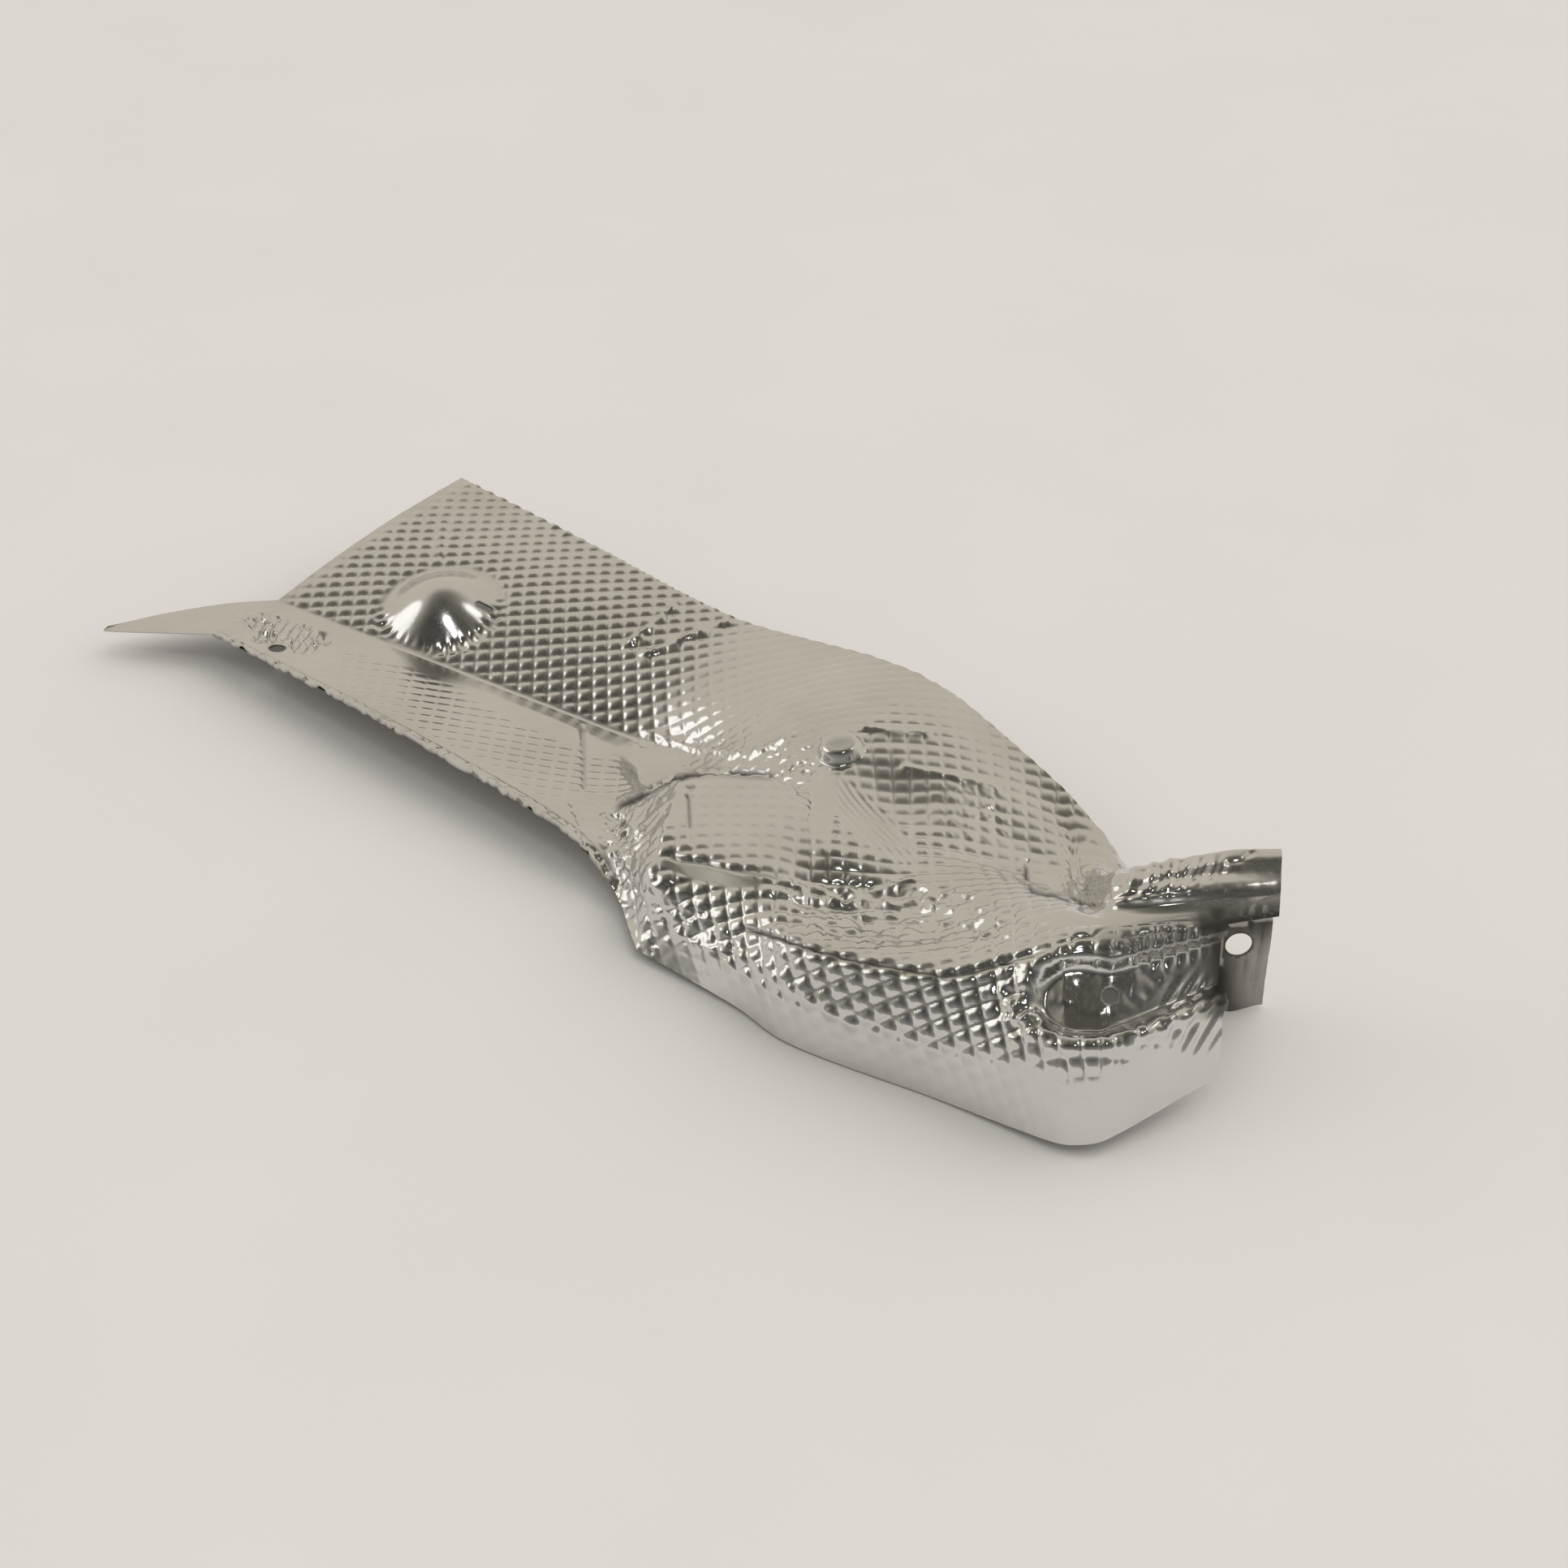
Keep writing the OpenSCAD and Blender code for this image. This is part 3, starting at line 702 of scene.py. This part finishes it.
def seen(px, py, depth, present):
    """1 where a point is not hidden from the photograph's camera by another part of the sheet."""
    i, j = (px / SEEN_PX).astype(int), (py / SEEN_PX).astype(int)
    nearest = np.full((IMAGE // SEEN_PX + 2, IMAGE // SEEN_PX + 2), 1e9)
    np.minimum.at(nearest, (i[present], j[present]), depth[present])
    return 1 - smooth((depth - nearest[i, j] - SEEN_MM) / SEEN_MM)


def waffle(flat, level):
    """The embossed waffle: a square field of low pillows whose sides run straight and are steepest below."""
    c, s = math.cos(WAFFLE_TURN), math.sin(WAFFLE_TURN)
    a = (flat[..., 0] * c + flat[..., 1] * s) / PITCH
    b = (-flat[..., 0] * s + flat[..., 1] * c) / PITCH
    da, db = [np.minimum(1, np.abs(x - np.round(x)) * 2 / PILLOW) for x in (a, b)]
    return WAFFLE_H * level * (1 - da ** FLAT_ALONG) * (1 - db ** FLAT_ACROSS)


def within(x, limits):
    """1 inside a range and 0 outside it, easing as the range says."""
    start, end, start_ease, end_ease = limits
    inside = 1 if start is None else smooth((x - start) / start_ease)
    return inside if end is None else inside * smooth((end - x) / end_ease)


def waffle_level(u, v, px, py, in_view, skin):
    """How strongly the waffle stands out, from 0 on the smooth places to 1 on the panel."""
    dome = np.linalg.norm(skin[..., :2] - DOME_C, axis=-1) / DOME_R
    level = smooth((dome - PLAIN_ROUND_DOME[0]) / PLAIN_ROUND_DOME[1])
    for weak, along, across in WEAKER.values():
        level *= 1 - (1 - weak) * within(u - TONGUE, along) * within(v, across)
    recess = recess_shape(u, v)[0]
    level *= 1 - smooth((PLAIN_ROUND_RECESS[0] - recess) / PLAIN_ROUND_RECESS[1]) * (v > RECESS_LINE - 1)
    for place in PLAIN_OVALS.values():
        level *= 1 - oval(px, py, place) * in_view
    return level


def along_line(px, py, points, half):
    """How near the place is to a line of the photograph, from 0 to 1, and the share of the line passed."""
    gap, share = line_distance(px, py, points)
    return np.exp(-(gap / half) ** 2) * within(share, (0, 1, CREASE_EASE, CREASE_EASE)), share


def creased(px, py):
    """Height of the creases, each broken up along its length as it says."""
    push = np.zeros(px.shape)
    for seed, (points, half, height, broken) in enumerate(CREASES.values()):
        near, share = along_line(px, py, points, half)
        length = np.linalg.norm(np.diff(np.array(points, float), axis=0), axis=1).sum()
        beads = value_noise(share * length / BREAK_PX, np.zeros(px.shape), 100 + seed)
        push += height * near * (1 - broken * (0.5 + 0.8 * beads))
    return push


def crumpled(px, py, flat):
    """Height of the crumpled places, the pleats and the broad hollows."""
    push = np.zeros(px.shape)
    for seed, (place, height, size) in enumerate(CRUMPLES.values()):
        foil = facets(flat[..., 0] / size, flat[..., 1] / size, 200 + 2 * seed) - FOIL_MEAN
        push += height * oval(px, py, place) * foil
    for seed, (place, gap, lean, height) in enumerate(PLEATS.values()):
        wander = PLEAT_WANDER * value_noise(px / WANDER_PX, py / WANDER_PX, 300 + seed)
        wave = np.cos(2 * math.pi * ((px + lean * py) / gap + wander))
        push += height * oval(px, py, place) * wave
    for place, height in HOLLOWS.values():
        push += height * np.maximum(0, 1 - oval_radius(px, py, place) ** 2) ** 2
    return push


def dome_skirt(skin, v):
    """Radial crinkles round the foot of the dome, on the panel only."""
    x, y = skin[..., 0] - DOME_C[0], skin[..., 1] - DOME_C[1]
    r = np.hypot(x, y) / DOME_R
    band = np.exp(-((r - SKIRT_AT) / SKIRT_WIDTH) ** 2) * smooth((FOLD - 0.05 - v) / 0.2)
    turn = np.arctan2(y, x)
    near = smooth((-np.sin(turn - SKIRT_TURN) + 0.25) / 0.6)
    wander = value_noise(turn * 5, r * 3, 400)
    return SKIRT_H * band * near * np.cos(turn * SKIRT_FOLDS + 1.5 * wander)


def painted_shade_at(px, py, in_view):
    """How much painted shade each place gets from the lines that carry it, from 0 to 1."""
    dark = np.zeros(px.shape)
    for points, half, strength in PAINTED_SHADE_LINES.values():
        dark = np.maximum(dark, strength * along_line(px, py, points, half)[0])
    return dark * in_view


def relief(skin, u, v):
    """The height of the fine relief at each point of the pressed sheet, and how much painted shade it gets.
    """
    flat = flattened(skin)
    px, py, depth = photo_place(skin)
    present = np.pad(cells_there(u, v), ((0, 1), (0, 1)), mode="edge")
    in_view = seen(px, py, depth, present)
    level = waffle_level(u, v, px, py, in_view, skin)
    push = waffle(flat, level) + (creased(px, py) + crumpled(px, py, flat)) * in_view + dome_skirt(skin, v)
    push += CAP_FULL * np.maximum(0, 1 - oval_radius(px, py, PLAIN_OVALS["cap"]) ** 4) * in_view
    swell = value_noise(flat[..., 0] / SWELL_MM, flat[..., 1] / SWELL_MM, 7)
    crimp = value_noise(flat[..., 0] / CRIMP_MM, flat[..., 1] / CRIMP_MM, 8)
    along_hem = within(u - TONGUE, HEM_ALONG)
    lip = smooth((v - LIP_FROM) / LIP_EASE) * along_hem
    push += SWELL_H * swell + lip * (LIP_H + CRIMP_H * crimp)
    # Painted shade along the hem's fold line, broken up by the crimp
    fold_line_shade = np.exp(-((v - LIP_FROM) / FOLDED_HALF) ** 2) * along_hem * lerp(crimp, 1, FOLDED_SHARE)
    return push, np.maximum(painted_shade_at(px, py, in_view), FOLD_PAINTED_SHADE * fold_line_shade)


def thickness(u, v):
    """The sheet's thickness, greater in the crimped hem along the flange's edge."""
    hem = smooth((v - HEM_FROM) / HEM_EASE) * (u >= TONGUE) * (u < TONGUE + HEM_END)
    return SHEET_T + (HEM_T - SHEET_T) * hem


def cells_there(u, v):
    """Which cells of the mesh are sheet: the tongue has no panel, and the near wall stops short."""
    u, v = u[:-1, :-1], v[:-1, :-1]
    return ((u >= TONGUE) | (v >= FOLD)) & ((u < NOTCH) | (v < CREST))


def grid_normals(skin, there):
    """Normal at each grid point, from the cells that are there round it."""
    cell = np.cross(skin[1:, 1:] - skin[:-1, :-1], skin[1:, :-1] - skin[:-1, 1:]) * there[..., None]
    rows, columns = there.shape
    total = np.zeros(skin.shape)
    for i, j in ((0, 0), (1, 0), (0, 1), (1, 1)):
        total[i:i + rows, j:j + columns] += cell
    return unit(total)


def hole_shape(centre, way, d, length=None, along=(1, 0, 0)):
    """A hole: its middle, its way out, two directions in its plane, its radius, half its straight part."""
    first = unit(np.cross(np.cross(way, along), way))
    return centre, way, first, np.cross(way, first), d / 2, ((length or d) - d) / 2


def hole_place(points, hole):
    """Where points lie in a hole's own frame, and how far outside its edge."""
    centre, way, first, second, r, half = hole
    d = points - centre
    x, y, gap = d @ first, d @ second, d @ way
    outside = np.hypot(np.maximum(np.abs(x) - half, 0), y) - r
    return x, y, gap, np.where(np.abs(gap) < SEAT_FADE, outside, FAR_OUT)


def hole_edge(points, hole):
    """The hole's edge on the sheet: its outline laid on a curved surface fitted to the points near it."""
    centre, way, first, second, r, half = hole
    x, y, gap, outside = hole_place(points, hole)
    near = outside < FIT_MM

    def terms(x, y):
        return np.stack([np.ones_like(x), x, y, x * x, x * y, y * y], 1)

    fit = np.linalg.lstsq(terms(x[near], y[near]), gap[near], rcond=None)[0]
    turns = np.linspace(0, ROUND, HOLE_POINTS, endpoint=False) + EDGE_START
    x, y = r * np.cos(turns) + half * np.sign(np.cos(turns)), r * np.sin(turns)
    return centre + x[:, None] * first + y[:, None] * second + (terms(x, y) @ fit)[:, None] * way


def loop_round(cleared, columns):
    """Grid points round a cleared patch of cells, in order, the patch on the left."""
    following = {}
    for i, j in np.argwhere(cleared):
        corners = [(i, j), (i, j + 1), (i + 1, j + 1), (i + 1, j)]
        beyond = [(i - 1, j), (i, j + 1), (i + 1, j), (i, j - 1)]
        for k in range(4):
            if not cleared[beyond[k]]:
                following[corners[k]] = corners[(k + 1) % 4]
    loop = [next(iter(following))]
    while following[loop[-1]] != loop[0]:
        loop.append(following[loop[-1]])
    return [a * columns + b for a, b in loop]


def from_lowest(ring, turn):
    """A ring begun and ended at its point of lowest bearing, and the bearings after its first point."""
    start = int(np.argmin(turn))
    return ring[start:] + ring[:start + 1], [*np.roll(turn, -start)[1:], ROUND, FAR_OUT]


def zipped(inner, inner_turn, outer, outer_turn):
    """Triangles between two rings of points that run the same way round, each point with its bearing."""
    inner, next_inner = from_lowest(inner, inner_turn)
    outer, next_outer = from_lowest(outer, outer_turn)
    a = b = 0
    faces = []
    while a < len(inner) - 1 or b < len(outer) - 1:
        here, there = inner[a], outer[b]
        if next_outer[b] <= next_inner[a]:
            b += 1
            faces.append((here, there, outer[b]))
        else:
            a += 1
            faces.append((here, there, inner[a]))
    return faces


def collar(hole, top, patch, first):
    """A hole's edge: its ring on the sheet, the mesh row it lies in, the faces that join the ring to the
    sheet, above and below, and the wall inside the hole. New points are numbered from the first."""
    columns = top.shape[1]
    x, y = hole_place(top, hole)[:2]
    ring = hole_edge(top.reshape(-1, 3), hole)
    ring_x, ring_y = hole_place(ring, hole)[:2]
    upper, loop = list(range(first, first + HOLE_POINTS)), loop_round(patch, columns)
    faces = zipped(upper, np.arctan2(ring_y, ring_x) % ROUND, loop, np.arctan2(y, x).ravel()[loop] % ROUND)
    below = {a: a + HOLE_POINTS for a in upper} | {a: a + top.shape[0] * columns for a in loop}
    back = [tuple(below[a] for a in face[::-1]) for face in faces]
    wall = [(a, b, below[b], below[a]) for a, b in zip(upper, upper[1:] + upper[:1])]
    return ring, loop[0] // columns, np.array(faces + back), np.array(wall)


# The sheet is drawn flat round two of the holes; the recess keeps its own curved floor
SEATED = (PAD_HOLE, FAR_HOLE)
HOLES = [hole_shape(*hole) for hole in (PAD_HOLE, NEAR_HOLE, FAR_HOLE)]
HOLES.append(hole_shape(SLOT_C, SLOT_OUT, SLOT_W, SLOT_LEN, SLOT_ALONG))


def pressed_sheet():
    """Places of the mesh along and across the sheet, and the pressed sheet's points there."""
    us = mesh_places(np.diff(ALL, axis=0), ROW_PERCENT, ROW_GAP)
    vs = mesh_places(np.diff(ALL, axis=1).transpose(1, 0, 2), 100, COLUMN_GAP)
    u, v = np.meshgrid(us, vs, indexing="ij")
    skin = press(plain_sheet(us, vs), u, v)
    for centre, way, d in SEATED:
        skin = seat(skin, centre, way, d)
    return u, v, skin


def sheet_box(u, v, skin):
    """Lowest and highest corner of the plain pressed sheet, its thickness included."""
    there = cells_there(u, v)
    under = skin - grid_normals(skin, there) * thickness(u, v)[..., None]
    corners = [part[i:there.shape[0] + i, j:there.shape[1] + j][there]
               for part in (skin, under) for i in (0, 1) for j in (0, 1)]
    points = np.concatenate(corners)
    return points.min(0), points.max(0)


# The pressed sheet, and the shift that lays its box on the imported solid's
U, V, SKIN = pressed_sheet()
LOW, HIGH = sheet_box(U, V, SKIN)
CAD_LOW, CAD_HIGH = np.array(cad_box) / METRE
TO_FRAME = np.append((CAD_LOW + CAD_HIGH - LOW - HIGH)[:2] / 2, CAD_LOW[2] - LOW[2])


def neighbours(cells, k):
    """The cells beyond each cell's side k, false outside the mesh."""
    padded = np.pad(cells, 1)
    di, dj = ((-1, 0), (0, 1), (1, 0), (0, -1))[k]
    return padded[1 + di:padded.shape[0] - 1 + di, 1 + dj:padded.shape[1] - 1 + dj]


def linked(name, data):
    """An object in the scene with this mesh, light or camera."""
    obj = bpy.data.objects.new(name, data)
    bpy.context.scene.collection.objects.link(obj)
    return obj


def mesh_piece(name, points, quads, triangles, corner_normals, marks):
    """A mesh object from points in millimetres, with a normal for every corner of every face, and with the
    named marks on its points."""
    used, index = np.unique(np.concatenate([quads.ravel(), triangles.ravel()]), return_inverse=True)
    starts = np.concatenate([np.arange(len(quads)) * 4, len(quads) * 4 + np.arange(len(triangles)) * 3])
    mesh = bpy.data.meshes.new(name)
    mesh.vertices.add(len(used))
    mesh.vertices.foreach_set("co", ((points[used] + TO_FRAME) * METRE).ravel())
    mesh.loops.add(len(index))
    mesh.loops.foreach_set("vertex_index", index.astype(np.int32))
    mesh.polygons.add(len(starts))
    mesh.polygons.foreach_set("loop_start", starts.astype(np.int32))
    mesh.polygons.foreach_set("use_smooth", np.ones(len(starts), bool))
    mesh.update(calc_edges=True)
    mesh.normals_split_custom_set(corner_normals.tolist())
    mesh.validate()
    for mark, values in marks.items():
        mesh.attributes.new(mark, "FLOAT", "POINT").data.foreach_set("value", values[used].astype(np.float32))
    return linked(name, mesh)


def sheet_faces(part, cleared):
    """The faces of a part of the sheet, above and below, and the walls along its edge except round holes."""
    rows, columns = part.shape[0] + 1, part.shape[1] + 1
    i, j = np.nonzero(part)
    corners = [i * columns + j, i * columns + j + 1, (i + 1) * columns + j + 1, (i + 1) * columns + j]
    walls = []
    for k in range(4):
        edge = ~neighbours(part, k)[i, j] & ~neighbours(cleared, k)[i, j]
        a, b = corners[k][edge], corners[(k + 1) % 4][edge]
        walls.append(np.stack([b, a, a + rows * columns, b + rows * columns], 1))
    faces = np.stack(corners, 1)
    return np.concatenate([faces, faces[:, ::-1] + rows * columns]), walls


def sheet_pieces():
    """The whole shield, as closed pieces from the tongue to the channel."""
    there = cells_there(U, V)
    height, dark = relief(SKIN, U, V)
    for hole in HOLES:
        height *= smooth((hole_place(SKIN, hole)[3] - RIM_FLAT) / RIM_FADE)
    top = SKIN + grid_normals(SKIN, there) * height[..., None]
    out = grid_normals(top, there)
    under = top - out * thickness(U, V)[..., None]

    points = [top.reshape(-1, 3), under.reshape(-1, 3)]
    normals = [out.reshape(-1, 3), -out.reshape(-1, 3)]
    # Painted shade: all of it on the top, on the underside only near the far rim; the underside also gets its
    # darker tint
    marks = {"painted_shade": [dark.ravel(), (dark * (V < SEEN_UNDER)).ravel()],
             "inner": [np.zeros(dark.size), np.ones(dark.size)]}
    cleared = np.zeros(there.shape, bool)
    collars = []
    for hole in HOLES:
        inside = hole_place(top, hole)[3] < CLEAR
        patch = (inside[:-1, :-1] | inside[1:, :-1] | inside[:-1, 1:] | inside[1:, 1:]) & there
        cleared |= patch
        ring, *joined = collar(hole, top, patch, sum(map(len, points)))
        collars.append(joined)
        way = hole[1]
        points += [ring, ring - way * SHEET_T]
        normals += [np.tile(way, (HOLE_POINTS, 1)), np.tile(-way, (HOLE_POINTS, 1))]
        # Painted shade on each hole's edge: part strength on the upper ring, full on the lower ring and the
        # wall
        marks["painted_shade"] += [np.full(HOLE_POINTS, RIM_PAINTED_SHADE), np.ones(HOLE_POINTS)]
        marks["inner"] += [np.zeros(HOLE_POINTS), np.ones(HOLE_POINTS)]
    points, normals = np.concatenate(points), np.concatenate(normals)
    marks = {mark: np.concatenate(values) for mark, values in marks.items()}
    there &= ~cleared

    made = []
    rows = [0] + [int(np.searchsorted(U[:, 0], end)) for end in PIECE_ENDS] + [len(U) - 1]
    for number, (first, last) in enumerate(zip(rows[:-1], rows[1:])):
        part = there.copy()
        part[:first] = False
        part[last:] = False
        skins, walls = sheet_faces(part, cleared)
        triangles = [np.zeros((0, 3), int)]
        for row, round_faces, wall in collars:
            if first <= row < last:
                triangles.append(round_faces)
                walls.append(wall)
        walls, triangles = np.concatenate(walls), np.concatenate(triangles)
        wall_normals = unit(np.cross(points[walls[:, 2]] - points[walls[:, 0]],
                                     points[walls[:, 3]] - points[walls[:, 1]]))
        corner_normals = np.concatenate([normals[skins.ravel()], np.repeat(wall_normals, 4, axis=0),
                                         normals[triangles.ravel()]])
        quads = np.concatenate([skins, walls])
        made.append(mesh_piece("sheet_%d" % (number + 1), points, quads, triangles, corner_normals, marks))
    return made


def feed(tree, socket, value):
    """Sets an input to a value, or links it to another node's output."""
    if isinstance(value, bpy.types.NodeSocket):
        tree.links.new(value, socket)
    else:
        socket.default_value = value


def node(tree, kind, **sockets):
    """A shader node with values or links set on its inputs by name."""
    made = tree.nodes.new(kind)
    for name, value in sockets.items():
        feed(tree, made.inputs[name], value)
    return made


def numbered(tree, kind, *values):
    """A shader node with values or links set on its inputs in their order."""
    made = tree.nodes.new(kind)
    for socket, value in zip(made.inputs, values):
        feed(tree, socket, value)
    return made


def ramp(tree, fac, stops):
    """A colour from stops, each a place and a colour of three numbers."""
    made = node(tree, "ShaderNodeValToRGB", Fac=fac)
    elements = made.color_ramp.elements
    while len(elements) < len(stops):
        elements.new(0.5)
    for element, (place, colour) in zip(elements, stops):
        element.position = place
        element.color = (*colour, 1)
    return made.outputs["Color"]


def maths(tree, operation, *values):
    """One step of arithmetic on one or two values or links."""
    made = numbered(tree, "ShaderNodeMath", *values)
    made.operation = operation
    return made.outputs[0]


def mapped(tree, value, given, wanted):
    """A value carried from one range to another, and held to its ends."""
    return numbered(tree, "ShaderNodeMapRange", value, *given, *wanted).outputs[0]


def blended(tree, share, first, second):
    """Two colours mixed, the second one's share given. A colour is three numbers or a socket."""
    made = tree.nodes.new("ShaderNodeMix")
    made.data_type = "RGBA"
    sockets = [socket for socket in made.inputs if socket.enabled]
    for socket, value in zip(sockets, (share, first, second)):
        feed(tree, socket, (*value, 1.0) if isinstance(value, tuple) else value)
    return [socket for socket in made.outputs if socket.enabled][0]


def attribute(tree, name):
    """A mark of the mesh, as a value."""
    made = tree.nodes.new("ShaderNodeAttribute")
    made.attribute_name = name
    return made.outputs["Fac"]


def plain_material(name):
    """A new material with its tree, its shader and the place on the object."""
    material = bpy.data.materials.new(name)
    material.use_nodes = True
    tree = material.node_tree
    return material, tree, tree.nodes["Principled BSDF"], node(tree, "ShaderNodeTexCoord").outputs["Object"]


def aluminium():
    """Bright rolled foil: almost a mirror, a little clouded, with fine rolling lines and scuffs."""
    material, tree, shader, place = plain_material("embossed_aluminium")
    clouds = node(tree, "ShaderNodeTexNoise", Vector=place, Scale=22.0, Detail=5.0, Roughness=0.6)
    grains = node(tree, "ShaderNodeTexNoise", Vector=place, Scale=900.0, Detail=3.0, Roughness=0.7)
    lined = node(tree, "ShaderNodeMapping", Vector=place, Rotation=(0.0, 0.0, ROLLING_TURN),
                 Scale=ROLLING_SCALE)
    lines = node(tree, "ShaderNodeTexNoise", Vector=lined.outputs[0], Scale=1.0, Detail=2.0)
    # Painted shade: the marked lines and hole edges take a dark tint, the underside a darker tint, over the
    # clouded tints
    painted_shade = attribute(tree, "painted_shade")
    inner = attribute(tree, "inner")
    tint = blended(tree, inner, ramp(tree, clouds.outputs["Fac"], METAL_TINTS), UNDERSIDE_PAINTED_SHADE)
    tree.links.new(blended(tree, painted_shade, tint, PAINTED_SHADE_TINT), shader.inputs["Base Color"])
    rough = mapped(tree, clouds.outputs["Fac"], CLOUDED, GLOSS[:2])
    rough = maths(tree, "ADD", rough, mapped(tree, grains.outputs["Fac"], DUSTY, (0.0, GLOSS[2])))
    for mark, more in ((inner, INNER_GLOSS), (painted_shade, PAINTED_SHADE_GLOSS)):
        rough = maths(tree, "ADD", rough, maths(tree, "MULTIPLY", mark, more))
    tree.links.new(rough, shader.inputs["Roughness"])
    rolled = maths(tree, "MULTIPLY", lines.outputs["Fac"], ROLLING_SHARE)
    fine = maths(tree, "ADD", rolled, grains.outputs["Fac"])
    bump = node(tree, "ShaderNodeBump", Strength=GRAIN[0], Distance=GRAIN[1], Height=fine)
    tree.links.new(bump.outputs["Normal"], shader.inputs["Normal"])
    shader.inputs["Metallic"].default_value = 1.0
    return material


def table_material():
    """A pale smooth table top, with the faintest mottling."""
    material, tree, shader, place = plain_material("pale_table")
    noise = node(tree, "ShaderNodeTexNoise", Vector=place, Scale=6.0, Detail=3.0)
    tree.links.new(ramp(tree, noise.outputs["Fac"], TABLE_TINTS), shader.inputs["Base Color"])
    shader.inputs["Roughness"].default_value = 0.75
    shader.inputs["Specular IOR Level"].default_value = 0.2
    return material


def towards(tree, way, direction):
    """How far a view direction points one way, from -1 to 1."""
    made = numbered(tree, "ShaderNodeVectorMath", way, direction)
    made.operation = "DOT_PRODUCT"
    return made.outputs["Value"]


def surroundings():
    """A plain studio. The metal mirrors a light warm wall beyond the table, a darker ceiling and a dim wall
    behind the camera, and the table is lit softly, most from one side."""
    world = bpy.data.worlds.new("studio")
    bpy.context.scene.world = world
    world.use_nodes = True
    tree = world.node_tree
    room = tree.nodes["Background"]
    way = node(tree, "ShaderNodeTexCoord").outputs["Generated"]
    height = maths(tree, "ARCSINE", node(tree, "ShaderNodeSeparateXYZ", Vector=way).outputs["Z"])
    height = maths(tree, "DIVIDE", height, math.pi / 2)
    side = mapped(tree, towards(tree, way, FAR_WAY), SIDES, (0.0, 1.0))
    walls = blended(tree, side, ramp(tree, height, NEAR_SIDE), ramp(tree, height, FAR_SIDE))
    tree.links.new(walls, room.inputs["Color"])
    softness = towards(tree, way, Vector(SOFT_WAY).normalized())
    level = mapped(tree, softness, (SOFT_FROM, 1.0), SOFT_LEVELS)
    soft = node(tree, "ShaderNodeBackground", Color=SOFT_TINT, Strength=level)
    rays = node(tree, "ShaderNodeLightPath")
    shown = maths(tree, "MAXIMUM", rays.outputs["Is Camera Ray"],
                  maths(tree, "MAXIMUM", rays.outputs["Is Glossy Ray"], rays.outputs["Is Transmission Ray"]))
    both = numbered(tree, "ShaderNodeMixShader", shown, soft.outputs[0], room.outputs[0])
    tree.links.new(both.outputs[0], tree.nodes["World Output"].inputs["Surface"])


def lamp(name, bearing, height, width, share, colour):
    """A distant round lamp, soft by its width, that gives the table a share of its light."""
    turn, rise = FAR_TURN - math.radians(bearing), math.radians(height)
    data = bpy.data.lights.new(name, "SUN")
    data.angle = math.radians(width)
    data.energy = share * math.pi / math.sin(rise)
    data.color = colour
    way = Vector((math.cos(turn) * math.cos(rise), math.sin(turn) * math.cos(rise), math.sin(rise)))
    placed(linked(name, data), way, way)


def placed(obj, place, back):
    """Puts a lamp or a camera at its place, with its back turned this way."""
    obj.location = place
    obj.rotation_mode = "QUATERNION"
    obj.rotation_quaternion = back.to_track_quat("Z", "Y")


def photo_camera():
    """The photograph's camera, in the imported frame."""
    data = bpy.data.cameras.new("camera")
    data.sensor_width = SENSOR_W
    data.lens = SENSOR_W * FOCAL_PX / IMAGE
    data.clip_start = 0.05
    data.clip_end = 50
    camera = linked("camera", data)
    placed(camera, Vector((CAMERA_AT + BACK * CAMERA_D + TO_FRAME) * METRE), Vector(BACK))
    bpy.context.scene.camera = camera


def table_top(level):
    """The table under the shield, far wider than the picture."""
    mesh = bpy.data.meshes.new("table_top")
    w = TABLE_HALF
    mesh.from_pydata([(-w, -w, level), (w, -w, level), (w, w, level), (-w, w, level)], [], [(0, 1, 2, 3)])
    mesh.materials.append(table_material())
    linked("table_top", mesh)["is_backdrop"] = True


metal = aluminium()
for piece in sheet_pieces():
    piece.data.materials.append(metal)
    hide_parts(NODE)
    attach(piece, BODY)
table_top(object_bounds()[0].z)
surroundings()
for settings in LAMPS:
    lamp(*settings)
photo_camera()
bpy.context.scene.view_settings.view_transform = "Standard"
